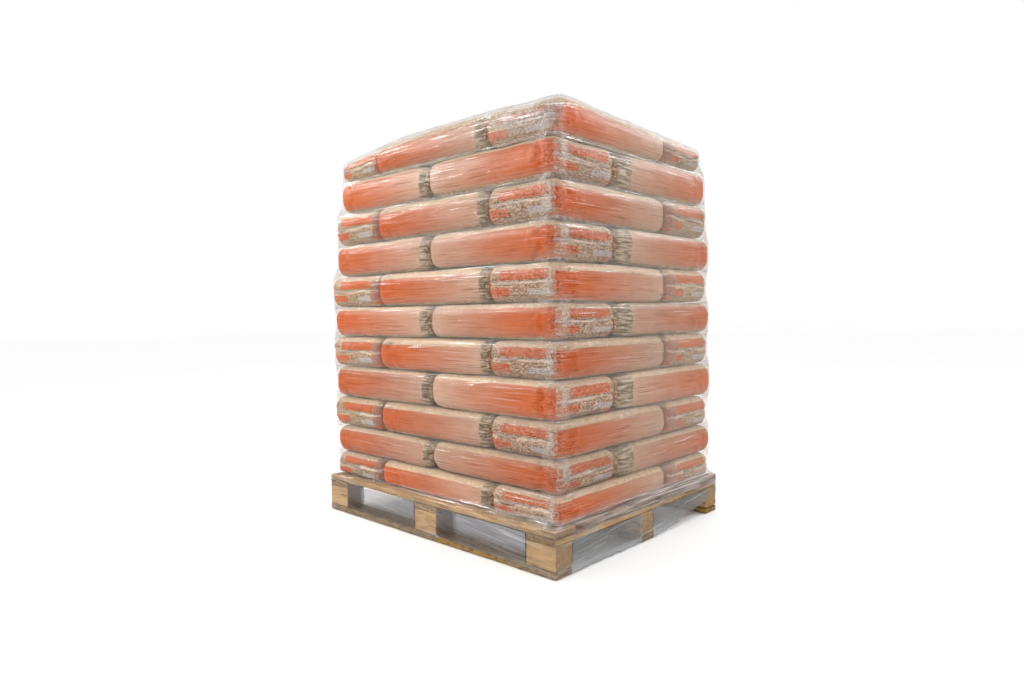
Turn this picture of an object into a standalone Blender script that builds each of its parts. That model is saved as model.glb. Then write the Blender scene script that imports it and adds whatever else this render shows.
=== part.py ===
"""A pallet of sacks: sixty-six filled film sacks in eleven layers on a wooden block pallet,
held by one wrap of clear stretch film.

Metres, +Z up. The origin is the middle of the pallet's footprint, at the floor. +X runs along
the pallet's 1200 mm side and +Y along its 1000 mm side. The -Y side and the +X side are the
two that were seen, and the other two are finished plainly.
"""

import math

import bmesh
import bpy

# The pallet
PALLET_LENGTH = 1.2  # along X
PALLET_WIDTH = 1.0  # along Y
BOARD_THICKNESS = 0.022
DECK_BOARD_COUNT = 7
DECK_BOARD_WIDTH = 0.1
BLOCK_LENGTH = 0.12  # along X, and the width of the cross boards that lie on the blocks
BLOCK_WIDTH = 0.08  # along Y, and the width of the bottom boards under the blocks
BLOCK_HEIGHT = 0.078

# The load. Its front and right sides are flush, and its layers end unevenly at the left and at
# the back. The sacks of a layer meet on the same few lines all the way up.
LOAD_FRONT = 0.475
LOAD_RIGHT = 0.59
JOINT_X = 0.295
JOINT_Y = 0.158
LAYER_HEIGHTS = (0.094, 0.107, 0.119, 0.124, 0.122, 0.117, 0.124, 0.124, 0.125, 0.125, 0.115)
LAYER_LEFT = (0.597, 0.594, 0.598, 0.598, 0.598, 0.597, 0.598, 0.574, 0.572, 0.53, 0.522)
LAYER_BACK = (0.471, 0.484, 0.465, 0.49, 0.465, 0.481, 0.458, 0.481, 0.458, 0.45, 0.41)
SACK_EDGE_DEPTH = 0.033  # how far inwards a sack's edges are rounded
SACK_EDGE_HEIGHT = 0.046  # how far up and down, so that its sides are nearly half an ellipse
SACK_ROUND_STEPS = 2
SACK_PRESS = 0.002  # how far two sacks of a layer are pressed into each other, from each side

# The highest layer's top slopes down to the left and to the back, each from one line across it
TOP_LEFT_LINE = -0.15
TOP_LEFT_SLOPE = 0.11
TOP_BACK_LINE = -0.4
TOP_BACK_SLOPE = 0.042

# The stretch film, made thicker than the real one so that it is a solid
FILM_THICKNESS = 0.001
FILM_DIP = 0.012  # how far it is drawn in between two layers
FILM_SHOULDER = 0.034  # how far above and below a joint between layers that dip begins
FILM_TOP_EDGE = ((0.0, 0.046), (0.007, 0.013), (0.027, 0.0))  # how far in and down it turns over
FILM_FOOT_RADIUS = 0.004  # its corner at the pallet's edge
SKIRT_TOP_LAP = 0.0007  # how far the skirt stands above the deck

# What rests on another piece, or is cut by it, keeps this much air
SEAT_GAP = 0.0003

# Heights of the pallet's courses
BLOCK_BASE = BOARD_THICKNESS
CROSS_BASE = BLOCK_BASE + BLOCK_HEIGHT
DECK_BASE = CROSS_BASE + BOARD_THICKNESS
DECK_TOP = DECK_BASE + BOARD_THICKNESS
BLOCK_X = (PALLET_LENGTH - BLOCK_LENGTH) / 2
BLOCK_Y = (PALLET_WIDTH - BLOCK_WIDTH) / 2

# The skirt's hem on each side of the pallet, as distance along the side and height. The front
# is read along +X and the right side along +Y. The back and the left side are hidden, so their
# hem only covers the deck, and comes down at the corners to meet the seen ones.
HEM_FRONT = ((-0.6, 0.002), (0.06, 0.002), (0.075, 0.026), (0.3, 0.014), (0.48, 0.006), (0.6, 0.003))
HEM_RIGHT = (
    (-0.5, 0.003), (0.04, 0.005), (0.16, 0.016), (0.28, 0.034), (0.36, 0.046), (0.42, 0.056), (0.5, 0.066)
)
HEM_BACK = ((-0.6, 0.123), (0.48, 0.123), (0.6, 0.066))
HEM_LEFT = ((-0.5, 0.002), (-0.425, 0.103), (0.425, 0.103), (0.5, 0.123))

# Colour, roughness
DECK_WOOD = ((0.58, 0.41, 0.22), 0.8)
CROSS_WOOD = ((0.46, 0.33, 0.2), 0.85)
BLOCK_WOOD = ((0.5, 0.36, 0.21), 0.85)
BOTTOM_WOOD = ((0.42, 0.28, 0.15), 0.85)
SACK_FILM = ((0.8, 0.2, 0.06), 0.4)
STRETCH_FILM = ((0.85, 0.86, 0.86), 0.15)
FILM_ALPHA = 0.2


def clear_scene():
    for obj in list(bpy.data.objects):
        bpy.data.objects.remove(obj, do_unlink=True)


def new_collection(name):
    collection = bpy.data.collections.new(name)
    bpy.context.scene.collection.children.link(collection)
    return collection


def material(name, finish, alpha=1.0):
    """A Principled material of one colour and roughness."""
    (red, green, blue), roughness = finish
    mat = bpy.data.materials.new(name)
    mat.use_nodes = True
    shader = mat.node_tree.nodes["Principled BSDF"]
    shader.inputs["Base Color"].default_value = (red, green, blue, 1.0)
    shader.inputs["Roughness"].default_value = roughness
    shader.inputs["Metallic"].default_value = 0.0
    shader.inputs["Alpha"].default_value = alpha
    return mat


def add_object(name, bm, collection, finish, alpha=1.0):
    """Turns a bmesh into an object with a material of its own."""
    mesh = bpy.data.meshes.new(name)
    bm.to_mesh(mesh)
    bm.free()
    obj = bpy.data.objects.new(name, mesh)
    obj.data.materials.append(material(name, finish, alpha))
    collection.objects.link(obj)
    return obj


def add_board(name, centre, size, collection, finish):
    """A sawn board or block: a box of the given size, placed by the object's location."""
    bm = bmesh.new()
    bmesh.ops.create_cube(bm, size=1.0)
    bmesh.ops.scale(bm, vec=size, verts=bm.verts)
    obj = add_object(name, bm, collection, finish)
    obj.location = centre
    return obj


def add_bottom_boards(collection):
    size = (PALLET_LENGTH, BLOCK_WIDTH, BOARD_THICKNESS)
    for i, y in enumerate((-BLOCK_Y, 0.0, BLOCK_Y), 1):
        add_board(f"bottom_board_{i}", (0.0, y, BOARD_THICKNESS / 2), size, collection, BOTTOM_WOOD)


def add_blocks(collection):
    size = (BLOCK_LENGTH, BLOCK_WIDTH, BLOCK_HEIGHT - SEAT_GAP)
    z = BLOCK_BASE + SEAT_GAP / 2 + BLOCK_HEIGHT / 2
    for row, y in zip(("front", "middle", "back"), (-BLOCK_Y, 0.0, BLOCK_Y)):
        for place, x in zip(("left", "centre", "right"), (-BLOCK_X, 0.0, BLOCK_X)):
            add_board(f"block_{row}_{place}", (x, y, z), size, collection, BLOCK_WOOD)


def add_cross_boards(collection):
    size = (BLOCK_LENGTH, PALLET_WIDTH, BOARD_THICKNESS - SEAT_GAP)
    z = CROSS_BASE + SEAT_GAP / 2 + BOARD_THICKNESS / 2
    for i, x in enumerate((-BLOCK_X, 0.0, BLOCK_X), 1):
        add_board(f"cross_board_{i}", (x, 0.0, z), size, collection, CROSS_WOOD)


def add_deck_boards(collection):
    size = (PALLET_LENGTH, DECK_BOARD_WIDTH, BOARD_THICKNESS - SEAT_GAP)
    z = DECK_BASE + SEAT_GAP / 2 + BOARD_THICKNESS / 2
    pitch = (PALLET_WIDTH - DECK_BOARD_WIDTH) / (DECK_BOARD_COUNT - 1)
    first = (DECK_BOARD_WIDTH - PALLET_WIDTH) / 2
    for i in range(DECK_BOARD_COUNT):
        add_board(f"deck_board_{i + 1}", (0.0, first + i * pitch, z), size, collection, DECK_WOOD)


def grown(span, reach):
    """A rectangle's left, right, front and back, moved outwards."""
    left, right, front, back = span
    return (left - reach, right + reach, front - reach, back + reach)


def layer_span(index):
    """Where a layer's outer sacks end: at its left, right, front and back."""
    return (-LAYER_LEFT[index], LOAD_RIGHT, -LOAD_FRONT, LAYER_BACK[index])


def sack_slots(index):
    """The six sacks of a layer, each by its left, right, front and back.

    Every second layer has a row of two sacks in front and four side by side behind it. The
    others have one sack across each end, two between them, and a row of two at the back.
    """
    left, right, front, back = grown(layer_span(index), -SACK_PRESS)
    if index % 2:
        row = [(left, 0.0, front, -JOINT_Y), (0.0, right, front, -JOINT_Y)]
        joints = (left, -JOINT_X, 0.0, JOINT_X, right)
        return row + [(x0, x1, -JOINT_Y, back) for x0, x1 in zip(joints, joints[1:])]
    ends = [(left, -JOINT_X, front, JOINT_Y), (JOINT_X, right, front, JOINT_Y)]
    middle = [(-JOINT_X, JOINT_X, y0, y1) for y0, y1 in ((front, -JOINT_Y), (-JOINT_Y, JOINT_Y))]
    row = [(left, 0.0, JOINT_Y, back), (0.0, right, JOINT_Y, back)]
    return ends + middle + row


def add_sacks(bm, slots, height):
    """Filled sacks as boxes with well rounded edges, added to an empty bmesh.

    They are rounded while they are low, and then stretched to their height, so that their edges
    round further up than they do inwards.
    """
    lower = SACK_EDGE_DEPTH / SACK_EDGE_HEIGHT
    for slot in slots:
        left, right, front, back = grown(slot, SACK_PRESS)
        made = bmesh.ops.create_cube(bm, size=1.0)["verts"]
        bmesh.ops.scale(bm, vec=(right - left, back - front, height * lower), verts=made)
        bmesh.ops.translate(bm, vec=((left + right) / 2, (front + back) / 2, 0.0), verts=made)
        edges = list({edge for vert in made for edge in vert.link_edges})
        bmesh.ops.bevel(
            bm, geom=edges, offset=SACK_EDGE_DEPTH, segments=SACK_ROUND_STEPS, profile=0.5, affect="EDGES"
        )
    bmesh.ops.scale(bm, vec=(1.0, 1.0, 1 / lower), verts=bm.verts)


def layer_base(index):
    return DECK_TOP + sum(LAYER_HEIGHTS[:index])


def lower_top(bm, base):
    """Slopes the top of the highest layer, whose underside is at base in the mesh."""
    for vert in bm.verts:
        drop = TOP_LEFT_SLOPE * max(0.0, TOP_LEFT_LINE - vert.co.x)
        drop += TOP_BACK_SLOPE * max(0.0, vert.co.y - TOP_BACK_LINE)
        share = (vert.co.z - base) / LAYER_HEIGHTS[-1]
        vert.co.z -= drop * min(max(share, 0.0), 1.0)


def add_sack_layer(index, collection, cutters):
    """One layer of six sacks as one solid, with the grooves between the sacks in its faces."""
    name = f"sack_layer_{index + 1:02d}"
    height = LAYER_HEIGHTS[index] - SEAT_GAP
    z = layer_base(index) + SEAT_GAP + height / 2
    slots = sack_slots(index)
    first, others = bmesh.new(), bmesh.new()
    add_sacks(first, slots[:1], height)
    add_sacks(others, slots[1:], height)
    if index + 1 == len(LAYER_HEIGHTS):
        lower_top(first, layer_base(index) - z)
        lower_top(others, layer_base(index) - z)
    layer = add_object(name, first, collection, SACK_FILM)
    rest = add_object(f"{name}_other_sacks", others, cutters, SACK_FILM)
    for obj in (layer, rest):
        obj.location.z = z
    rest.hide_render = True
    rest.display_type = "WIRE"
    union = layer.modifiers.new("Pressed together", "BOOLEAN")
    union.operation = "UNION"
    union.solver = "EXACT"
    union.use_self = True
    union.object = rest
    return layer


def film_ring(span, radius, z):
    """A level section of the wrap: a rectangle whose corners are arcs, counterclockwise."""
    left, right, front, back = span
    points = []
    for corner, (x, y) in enumerate(((right, back), (left, back), (left, front), (right, front))):
        centre_x = x - math.copysign(radius, x)
        centre_y = y - math.copysign(radius, y)
        for step in range(SACK_ROUND_STEPS + 1):
            turn = (corner + step / SACK_ROUND_STEPS) * math.pi / 2
            points.append((centre_x + radius * math.cos(turn), centre_y + radius * math.sin(turn), z))
    return points


def load_ring(span, z, dip=0.0):
    """A section of the wrap where it lies on the sacks of a layer, or dips in above them."""
    reach = SEAT_GAP - dip
    return film_ring(grown(span, reach), SACK_EDGE_DEPTH + reach, z)


def outer_span(index):
    """The wider one of a layer and the next, on each side."""
    return tuple(max(pair, key=abs) for pair in zip(layer_span(index), layer_span(index + 1)))


def wrap_rings():
    """The sections of the wrap, from the pallet's edge up and over the top edge of the load."""
    foot_x = PALLET_LENGTH / 2 + SEAT_GAP
    foot_y = PALLET_WIDTH / 2 + SEAT_GAP
    foot = (-foot_x, foot_x, -foot_y, foot_y)
    rings = [film_ring(foot, FILM_FOOT_RADIUS, DECK_TOP + SKIRT_TOP_LAP + 2 * SEAT_GAP)]
    last = len(LAYER_HEIGHTS) - 1
    for index in range(last + 1):
        rings.append(load_ring(layer_span(index), layer_base(index) + FILM_SHOULDER))
        if index < last:
            joint = layer_base(index + 1)
            rings.append(load_ring(layer_span(index), joint - FILM_SHOULDER))
            rings.append(load_ring(outer_span(index), joint, FILM_DIP))
    top = layer_base(last + 1) + SEAT_GAP
    for inset, down in FILM_TOP_EDGE:
        rings.append(load_ring(layer_span(last), top - down, inset))
    return rings


def add_wrap(collection):
    """The film round and over the load, open at the bottom: a loft made into a thin shell."""
    bm = bmesh.new()
    loops = [[bm.verts.new(point) for point in ring] for ring in wrap_rings()]
    for lower, upper in zip(loops, loops[1:]):
        for i, vert in enumerate(lower):
            j = (i + 1) % len(lower)
            bm.faces.new((vert, lower[j], upper[j], upper[i]))
    bm.faces.new(loops[-1])
    for line, across in (((TOP_LEFT_LINE, 0, 0), (1, 0, 0)), ((0, TOP_BACK_LINE, 0), (0, 1, 0))):
        everything = bm.verts[:] + bm.edges[:] + bm.faces[:]
        bmesh.ops.bisect_plane(bm, geom=everything, dist=1e-6, plane_co=line, plane_no=across)
    lower_top(bm, layer_base(len(LAYER_HEIGHTS) - 1))
    wrap = add_object("stretch_wrap", bm, collection, STRETCH_FILM, FILM_ALPHA)
    shell = wrap.modifiers.new("Film thickness", "SOLIDIFY")
    shell.thickness = FILM_THICKNESS
    shell.offset = 1.0
    shell.use_even_offset = True
    return wrap


def add_skirt(name, hem, along, face, collection):
    """The film that hangs over one side of the pallet: a flat outline with its real hem.

    along turns a distance along the side into a point on it, and face is the side's outward
    direction.
    """
    top = DECK_TOP + SKIRT_TOP_LAP
    outline = list(hem) + [(hem[-1][0], top), (hem[0][0], top)]
    bm = bmesh.new()
    sheet = bm.faces.new([bm.verts.new(along(distance, z)) for distance, z in outline])
    sheet.normal_update()
    if sheet.normal.dot(face) < 0:
        sheet.normal_flip()
    skirt = add_object(name, bm, collection, STRETCH_FILM, FILM_ALPHA)
    shell = skirt.modifiers.new("Film thickness", "SOLIDIFY")
    shell.thickness = FILM_THICKNESS
    shell.offset = 1.0
    return skirt


def add_skirts(collection):
    """Two skirts lie between the pallet's corners, and the other two lap over their ends."""
    x = PALLET_LENGTH / 2 + SEAT_GAP
    y = PALLET_WIDTH / 2 + SEAT_GAP
    lap = (y + FILM_THICKNESS) / (PALLET_WIDTH / 2)
    add_skirt("wrap_skirt_front", HEM_FRONT, lambda d, z: (d, -y, z), (0, -1, 0), collection)
    add_skirt("wrap_skirt_back", HEM_BACK, lambda d, z: (d, y, z), (0, 1, 0), collection)
    add_skirt("wrap_skirt_right", HEM_RIGHT, lambda d, z: (x, d * lap, z), (1, 0, 0), collection)
    add_skirt("wrap_skirt_left", HEM_LEFT, lambda d, z: (-x, d * lap, z), (-1, 0, 0), collection)


def main():
    clear_scene()
    pallet_of_sacks = new_collection("Pallet of sacks")
    cutters = new_collection("Cutters")
    add_bottom_boards(pallet_of_sacks)
    add_blocks(pallet_of_sacks)
    add_cross_boards(pallet_of_sacks)
    add_deck_boards(pallet_of_sacks)
    for index in range(len(LAYER_HEIGHTS)):
        add_sack_layer(index, pallet_of_sacks, cutters)
    add_wrap(pallet_of_sacks)
    add_skirts(pallet_of_sacks)


main()
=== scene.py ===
import math

import bpy
import numpy as np
from bpy.props import FloatProperty, FloatVectorProperty, IntProperty, PointerProperty
from mathutils import Matrix, noise, Vector


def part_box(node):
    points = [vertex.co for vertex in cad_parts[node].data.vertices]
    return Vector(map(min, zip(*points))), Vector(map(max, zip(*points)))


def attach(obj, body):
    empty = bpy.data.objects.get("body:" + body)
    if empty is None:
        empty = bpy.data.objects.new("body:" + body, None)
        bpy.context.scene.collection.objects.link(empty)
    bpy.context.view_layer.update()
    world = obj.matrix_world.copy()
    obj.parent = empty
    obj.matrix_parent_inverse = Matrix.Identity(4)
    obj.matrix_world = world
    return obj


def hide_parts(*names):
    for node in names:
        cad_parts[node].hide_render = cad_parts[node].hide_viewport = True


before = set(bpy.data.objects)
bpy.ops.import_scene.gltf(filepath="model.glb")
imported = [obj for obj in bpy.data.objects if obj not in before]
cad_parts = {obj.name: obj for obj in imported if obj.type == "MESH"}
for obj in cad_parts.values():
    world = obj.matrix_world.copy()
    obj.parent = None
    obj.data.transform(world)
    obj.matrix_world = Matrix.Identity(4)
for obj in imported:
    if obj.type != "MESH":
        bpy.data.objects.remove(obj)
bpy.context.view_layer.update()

bl_info = {
    "name": "Pallet of filled sacks",
    "version": (1, 0, 0),
    "blender": (4, 5, 0),
    "location": "3D View > Sidebar > Pallet",
    "description": "A wooden block pallet with bonded layers of filled film sacks under stretch film",
    "category": "Object",
}

# The eleven layers of sacks from the deck up: their heights, and their reach to the left and to the back
LAYER_HEIGHTS = (0.094, 0.107, 0.119, 0.124, 0.122, 0.117, 0.124, 0.124, 0.125, 0.125, 0.115)
LAYER_LEFT = (0.597, 0.594, 0.598, 0.598, 0.598, 0.597, 0.598, 0.574, 0.572, 0.53, 0.522)
LAYER_BACK = (0.471, 0.484, 0.465, 0.49, 0.465, 0.481, 0.458, 0.481, 0.458, 0.45, 0.41)
LOAD_RIGHT, LOAD_FRONT = 0.59, 0.475
JOINT_X, JOINT_Y = 0.295, 0.158  # joints between the sacks of a layer, from the middle
BULGED_LAYERS, BULGE = (2, 4, 6), 0.013  # counted from 0 at the deck
DECK_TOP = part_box("deck_board_1")[1].z
LAYER_BASES = [DECK_TOP + sum(LAYER_HEIGHTS[:i]) for i in range(len(LAYER_HEIGHTS))]
LOAD_TOP = DECK_TOP + sum(LAYER_HEIGHTS)
PALLET_X, PALLET_Y = 0.6, 0.5  # half the pallet's length and width

# The highest layer's top slopes down to the left and to the back, each from one line across it
TOP_LEFT_LINE, TOP_LEFT_SLOPE = -0.15, 0.11
TOP_BACK_LINE, TOP_BACK_SLOPE = -0.4, 0.042

# Film: how far it lies above the highest sacks, and how far it stands off the pallet's sides
FILM_OVER_TOP = 0.007
UPPER_FILM_OUT, LOWER_FILM_OUT = 0.0013, 0.0019

# Heights of the film on the pallet's sides: the wrap's lowest turns, and the top of the turns below them
EDGE_TURNS, SKIRT_TOP = (0.118, 0.13, 0.1405), 0.139

# Lower edge of the film along each side of the pallet, as place along the side and height
HEM_FRONT = ((-0.6, 0.002), (0.06, 0.002), (0.075, 0.026), (0.3, 0.014), (0.48, 0.006), (0.6, 0.003))
HEM_RIGHT = (
    (-0.5, 0.003), (0.04, 0.005), (0.16, 0.016), (0.28, 0.034), (0.36, 0.046), (0.42, 0.056), (0.5, 0.066),
)
HEM_BACK = ((-0.6, 0.123), (0.48, 0.123), (0.6, 0.066))
HEM_LEFT = ((-0.5, 0.002), (-0.425, 0.103), (0.425, 0.103), (0.5, 0.123))


def length_value(name, description, default):
    return FloatProperty(name=name, description=description, default=default, unit="LENGTH")


def colour_value(name, description, default):
    return FloatVectorProperty(name=name, description=description, default=default, size=3, subtype="COLOR")


class SackSettings(bpy.types.PropertyGroup):
    """Shape and print of the filled sacks"""

    edge_out: length_value("Edge depth", "How far a shoulder of a filled sack rounds inwards", 0.033)
    edge_up: length_value("Edge height", "How far up and down the rounding of a side reaches", 0.046)
    gap: length_value("Gap", "Room between a sack and its slot in the layer", 0.0006)
    crumple: FloatProperty(
        name="Crumple", description="How deep the creases of the loose film are", default=2.3, min=0, max=3,
    )
    patterns: IntProperty(
        name="Patterns", description="How many sacks are simulated before they repeat",
        default=3, min=1, max=4,
    )
    ink: colour_value("Ink", "Print at the head of a sack", (0.48, 0.092, 0.014))
    pale_ink: colour_value("Pale ink", "Print where it has faded out", (0.465, 0.285, 0.205))
    pellet: colour_value("Pellets", "Filling that shows through the clear film", (0.475, 0.33, 0.2))


class FilmSettings(bpy.types.PropertyGroup):
    """Stretch film round the load"""

    thickness: length_value("Thickness", "Wall of the film's turns together", 0.0005)
    dip: length_value("Dip", "How far the film sinks in between two layers", 0.014)
    clearance: length_value("Clearance", "Room between the film and the sacks", 0.0022)
    gloss: FloatProperty(
        name="Gloss", description="Share of light that the film mirrors", default=0.003, min=0, max=1,
    )
    haze: FloatProperty(
        name="Haze", description="Share of the film that looks milky", default=0.0, min=0, max=1,
    )


class TimberSettings(bpy.types.PropertyGroup):
    """Sawn wood of the pallet"""

    edge_wear: length_value("Edge wear", "Depth of the chips along the boards' edges", 0.0035)
    light_wood: colour_value("Light wood", "Fresh part of the grain", (0.52, 0.345, 0.175))
    dark_wood: colour_value("Dark wood", "Dark part of the grain", (0.28, 0.165, 0.075))
    nail_size: length_value("Nail head", "Radius of a nail's head", 0.0045)


class StudioSettings(bpy.types.PropertyGroup):
    """Floor, lights and camera"""

    floor_colour: colour_value("Floor", "Colour of the floor", (0.98, 0.98, 0.98))
    sky: FloatProperty(name="Surroundings", description="Strength of the even light", default=1.0, min=0)
    key: FloatProperty(
        name="Key light", description="Power of the large light over the camera", default=60, unit="POWER",
    )
    lens: FloatProperty(
        name="Lens", description="Focal length on a 36 mm sensor", default=24.644, unit="CAMERA",
    )


# Working with selections, modifiers and meshes


def pick(ob):
    """Only ob is selected and active."""
    bpy.ops.object.select_all(action="DESELECT")
    ob.select_set(True)
    bpy.context.view_layer.objects.active = ob


def cut_through(axis, places):
    """Cuts the mesh in edit mode by planes across an axis."""
    normal = [0.0, 0.0, 0.0]
    normal[axis] = 1.0
    for place in places:
        point = [0.0, 0.0, 0.0]
        point[axis] = place
        bpy.ops.mesh.select_all(action="SELECT")
        bpy.ops.mesh.bisect(plane_co=point, plane_no=normal)


def points_of(mesh):
    flat = np.empty(len(mesh.vertices) * 3, np.float32)
    mesh.vertices.foreach_get("co", flat)
    return flat.reshape(-1, 3).astype(float)


def place_points(mesh, points):
    mesh.vertices.foreach_set("co", np.asarray(points, np.float32).ravel())
    mesh.update()


def apply_modifiers(ob):
    pick(ob)
    for modifier in list(ob.modifiers):
        bpy.ops.object.modifier_apply(modifier=modifier.name)


def copy_of(ob, name):
    """A second object with its own mesh."""
    new = ob.copy()
    new.data = ob.data.copy()
    new.name = name
    new.data.name = name
    bpy.context.scene.collection.objects.link(new)
    return new


def drop(ob):
    mesh = ob.data
    bpy.data.objects.remove(ob, do_unlink=True)
    bpy.data.meshes.remove(mesh)


def store(mesh, name, kind, values):
    """Writes one value for each vertex to a named attribute."""
    layer = mesh.attributes.new(name, kind, "POINT")
    key = "value" if kind == "FLOAT" else "vector"
    layer.data.foreach_set(key, np.asarray(values, np.float32).ravel())


def smooth_step(low, high, x):
    t = np.clip((np.asarray(x, float) - low) / (high - low), 0, 1)
    return t * t * (3 - 2 * t)


def noise_at(points, size, shift=0.0, depth=2):
    """Smooth noise of about -1 to 1 at each point, with features of the given size."""
    move = Vector((shift, -shift, shift * 0.5))
    return np.array([noise.fractal(Vector(p) / size + move, 0.6, 2.0, depth) for p in points])


class Finish:
    """A material's nodes, added by short calls."""

    def __init__(self, name):
        self.material = bpy.data.materials.new(name)
        self.material.use_nodes = True
        self.tree = self.material.node_tree
        self.tree.nodes.clear()

    def node(self, kind, values=None, **settings):
        made = self.tree.nodes.new(kind)
        for key, value in settings.items():
            setattr(made, key, value)
        for socket, value in (values or {}).items():
            self.feed(made.inputs[socket], value)
        return made

    def feed(self, socket, value):
        if isinstance(value, bpy.types.NodeSocket):
            self.tree.links.new(value, socket)
        else:
            socket.default_value = value

    def math(self, operation, a, b=0.0, clamp=False):
        return self.node("ShaderNodeMath", {0: a, 1: b}, operation=operation, use_clamp=clamp).outputs[0]

    def plus(self, first, *others):
        for value in others:
            first = self.math("ADD", first, value)
        return first

    def times(self, first, *others):
        for value in others:
            first = self.math("MULTIPLY", first, value)
        return first

    def minus(self, a, b):
        return self.math("SUBTRACT", a, b)

    def rest_of(self, share):
        return self.minus(1.0, share)

    def size_of(self, a):
        return self.math("ABSOLUTE", a)

    def larger(self, a, b):
        return self.math("MAXIMUM", a, b)

    def mix(self, share, a, b, blend="MIX"):
        node = self.node("ShaderNodeMix", {0: share, 6: a, 7: b}, data_type="RGBA", blend_type=blend)
        return node.outputs[2]

    def step(self, value, low, high, out_low=0.0, out_high=1.0):
        values = {"Value": value, "From Min": low, "From Max": high, "To Min": out_low, "To Max": out_high}
        return self.node("ShaderNodeMapRange", values, interpolation_type="SMOOTHSTEP").outputs[0]

    def ramp(self, value, stops, kind="LINEAR"):
        node = self.node("ShaderNodeValToRGB", {0: value})
        node.color_ramp.interpolation = kind
        bar = node.color_ramp.elements
        while len(bar) < len(stops):
            bar.new(0.5)
        for element, (place, shade) in zip(bar, stops):
            element.position = place
            element.color = colour(shade)
        return node.outputs[0]

    def object_place(self):
        return self.node("ShaderNodeTexCoord").outputs["Object"]

    def facing(self, axis):
        """How far the surface faces along an axis."""
        return self.parts(self.node("ShaderNodeTexCoord").outputs["Normal"])[axis]

    def attribute(self, name):
        return self.node("ShaderNodeAttribute", attribute_name=name, attribute_type="GEOMETRY").outputs

    def parts(self, vector):
        return self.node("ShaderNodeSeparateXYZ", {0: vector}).outputs

    def joined(self, x, y, z):
        return self.node("ShaderNodeCombineXYZ", {0: x, 1: y, 2: z}).outputs[0]

    def stretched(self, vector, scale, shift=(0, 0, 0)):
        values = {"Vector": vector, "Location": shift, "Scale": scale}
        return self.node("ShaderNodeMapping", values).outputs[0]

    def noise(self, vector, scale, detail=2.0, roughness=0.5, distortion=0.0):
        """Smooth noise: its height, and three of them as a colour."""
        values = {"Vector": vector, "Scale": scale, "Detail": detail, "Roughness": roughness}
        values["Distortion"] = distortion
        return self.node("ShaderNodeTexNoise", values).outputs

    def cells(self, vector):
        """Cells one unit wide: how far each place is from the middle of its cell, and the cell's colour."""
        return self.node("ShaderNodeTexVoronoi", {"Vector": vector, "Scale": 1.0}).outputs

    def bump(self, height, strength, distance, normal=None):
        values = {"Height": height, "Strength": strength, "Distance": distance}
        if normal is not None:
            values["Normal"] = normal
        return self.node("ShaderNodeBump", values).outputs[0]

    def patch(self, x, y, centre, half, corner, soft=0.0012):
        """1 inside a rectangle with rounded corners, 0 outside it."""
        over = []
        for value, middle, size in ((x, centre[0], half[0]), (y, centre[1], half[1])):
            off = self.size_of(self.minus(value, middle))
            over.append(self.larger(self.minus(off, size - corner), 0.0))
        square = self.plus(self.times(over[0], over[0]), self.times(over[1], over[1]))
        away = self.minus(self.math("SQRT", square), corner)
        return self.step(away, soft, -soft)

    def surface(self, shade, rough, specular, normal=None, metallic=0.0):
        """The finished material with one opaque surface."""
        values = {"Base Color": shade, "Roughness": rough, "Metallic": metallic}
        values["Specular IOR Level"] = specular
        if normal is not None:
            values["Normal"] = normal
        return self.output(self.node("ShaderNodeBsdfPrincipled", values).outputs[0])

    def clear_film(self, milky, mirrored, tint, milk, bumps, mirror_rough, milk_rough):
        """The finished material of clear film: it mirrors a share of the light, and a share is milky."""
        clear = self.node("ShaderNodeBsdfTransparent", {"Color": tint}).outputs[0]
        values = {"Color": (1, 1, 1, 1), "Roughness": mirror_rough, "Normal": bumps}
        mirror = self.node("ShaderNodeBsdfGlossy", values).outputs[0]
        sheet = self.node("ShaderNodeMixShader", {0: mirrored, 1: clear, 2: mirror}).outputs[0]
        values = {"Base Color": milk, "Roughness": milk_rough, "Normal": bumps}
        cloudy = self.node("ShaderNodeBsdfPrincipled", values).outputs[0]
        return self.output(self.node("ShaderNodeMixShader", {0: milky, 1: sheet, 2: cloudy}).outputs[0])

    def output(self, shader):
        self.node("ShaderNodeOutputMaterial", {"Surface": shader})
        return self.material


def colour(values):
    return (*values, 1.0)


def grey(value):
    return (value, value, value, 1.0)


# Wood and nails


KNOT_BROWN = (0.13, 0.06, 0.025)
MOULD_TONES = ((0.4, (0.09, 0.05, 0.018)), (0.5, (0.3, 0.18, 0.045)), (0.7, (0.4, 0.26, 0.08)))
WORN_TONES = ((0.3, (0.72, 0.68, 0.62)), (0.7, (1.1, 1.08, 1.05)))
PIECE_TONES = ((0.0, (0.55, 0.52, 0.5)), (1.0, (1.15, 1.12, 1.08)))
STEEL_TONES = ((0.4, (0.3, 0.29, 0.28)), (0.65, (0.2, 0.09, 0.04)))


def with_end_grain(f, face, axis, place, middle, dark):
    """Darker growth rings on the faces across the grain."""
    rings = f.noise(f.stretched(place, (150, 150, 150)), 1.0, 2.0, 0.5)[0]
    end_wood = f.ramp(rings, ((0.35, [v * 0.55 for v in dark]), (0.65, [v * 0.75 for v in middle])))
    at_end = f.step(f.size_of(f.facing(axis)), 0.75, 0.9)
    return f.mix(f.times(at_end, 0.75), face, end_wood)


def weathered(f, face, place):
    """Worn blotches, mould close to the floor, and each piece's own tone."""
    blotch = f.noise(place, 5.0, 3.0, 0.6)[0]
    face = f.mix(1.0, face, f.ramp(blotch, WORN_TONES), "MULTIPLY")
    mould = f.ramp(f.noise(f.stretched(place, (1, 1, 2.5)), 32.0, 3.0, 0.6)[0], MOULD_TONES)
    close_to_floor = f.step(f.parts(place)[2], 0.03, 0.02)
    face = f.mix(f.times(close_to_floor, 0.8), face, mould)
    return f.mix(1.0, face, f.ramp(f.attribute("tone")["Fac"], PIECE_TONES), "MULTIPLY")


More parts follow.
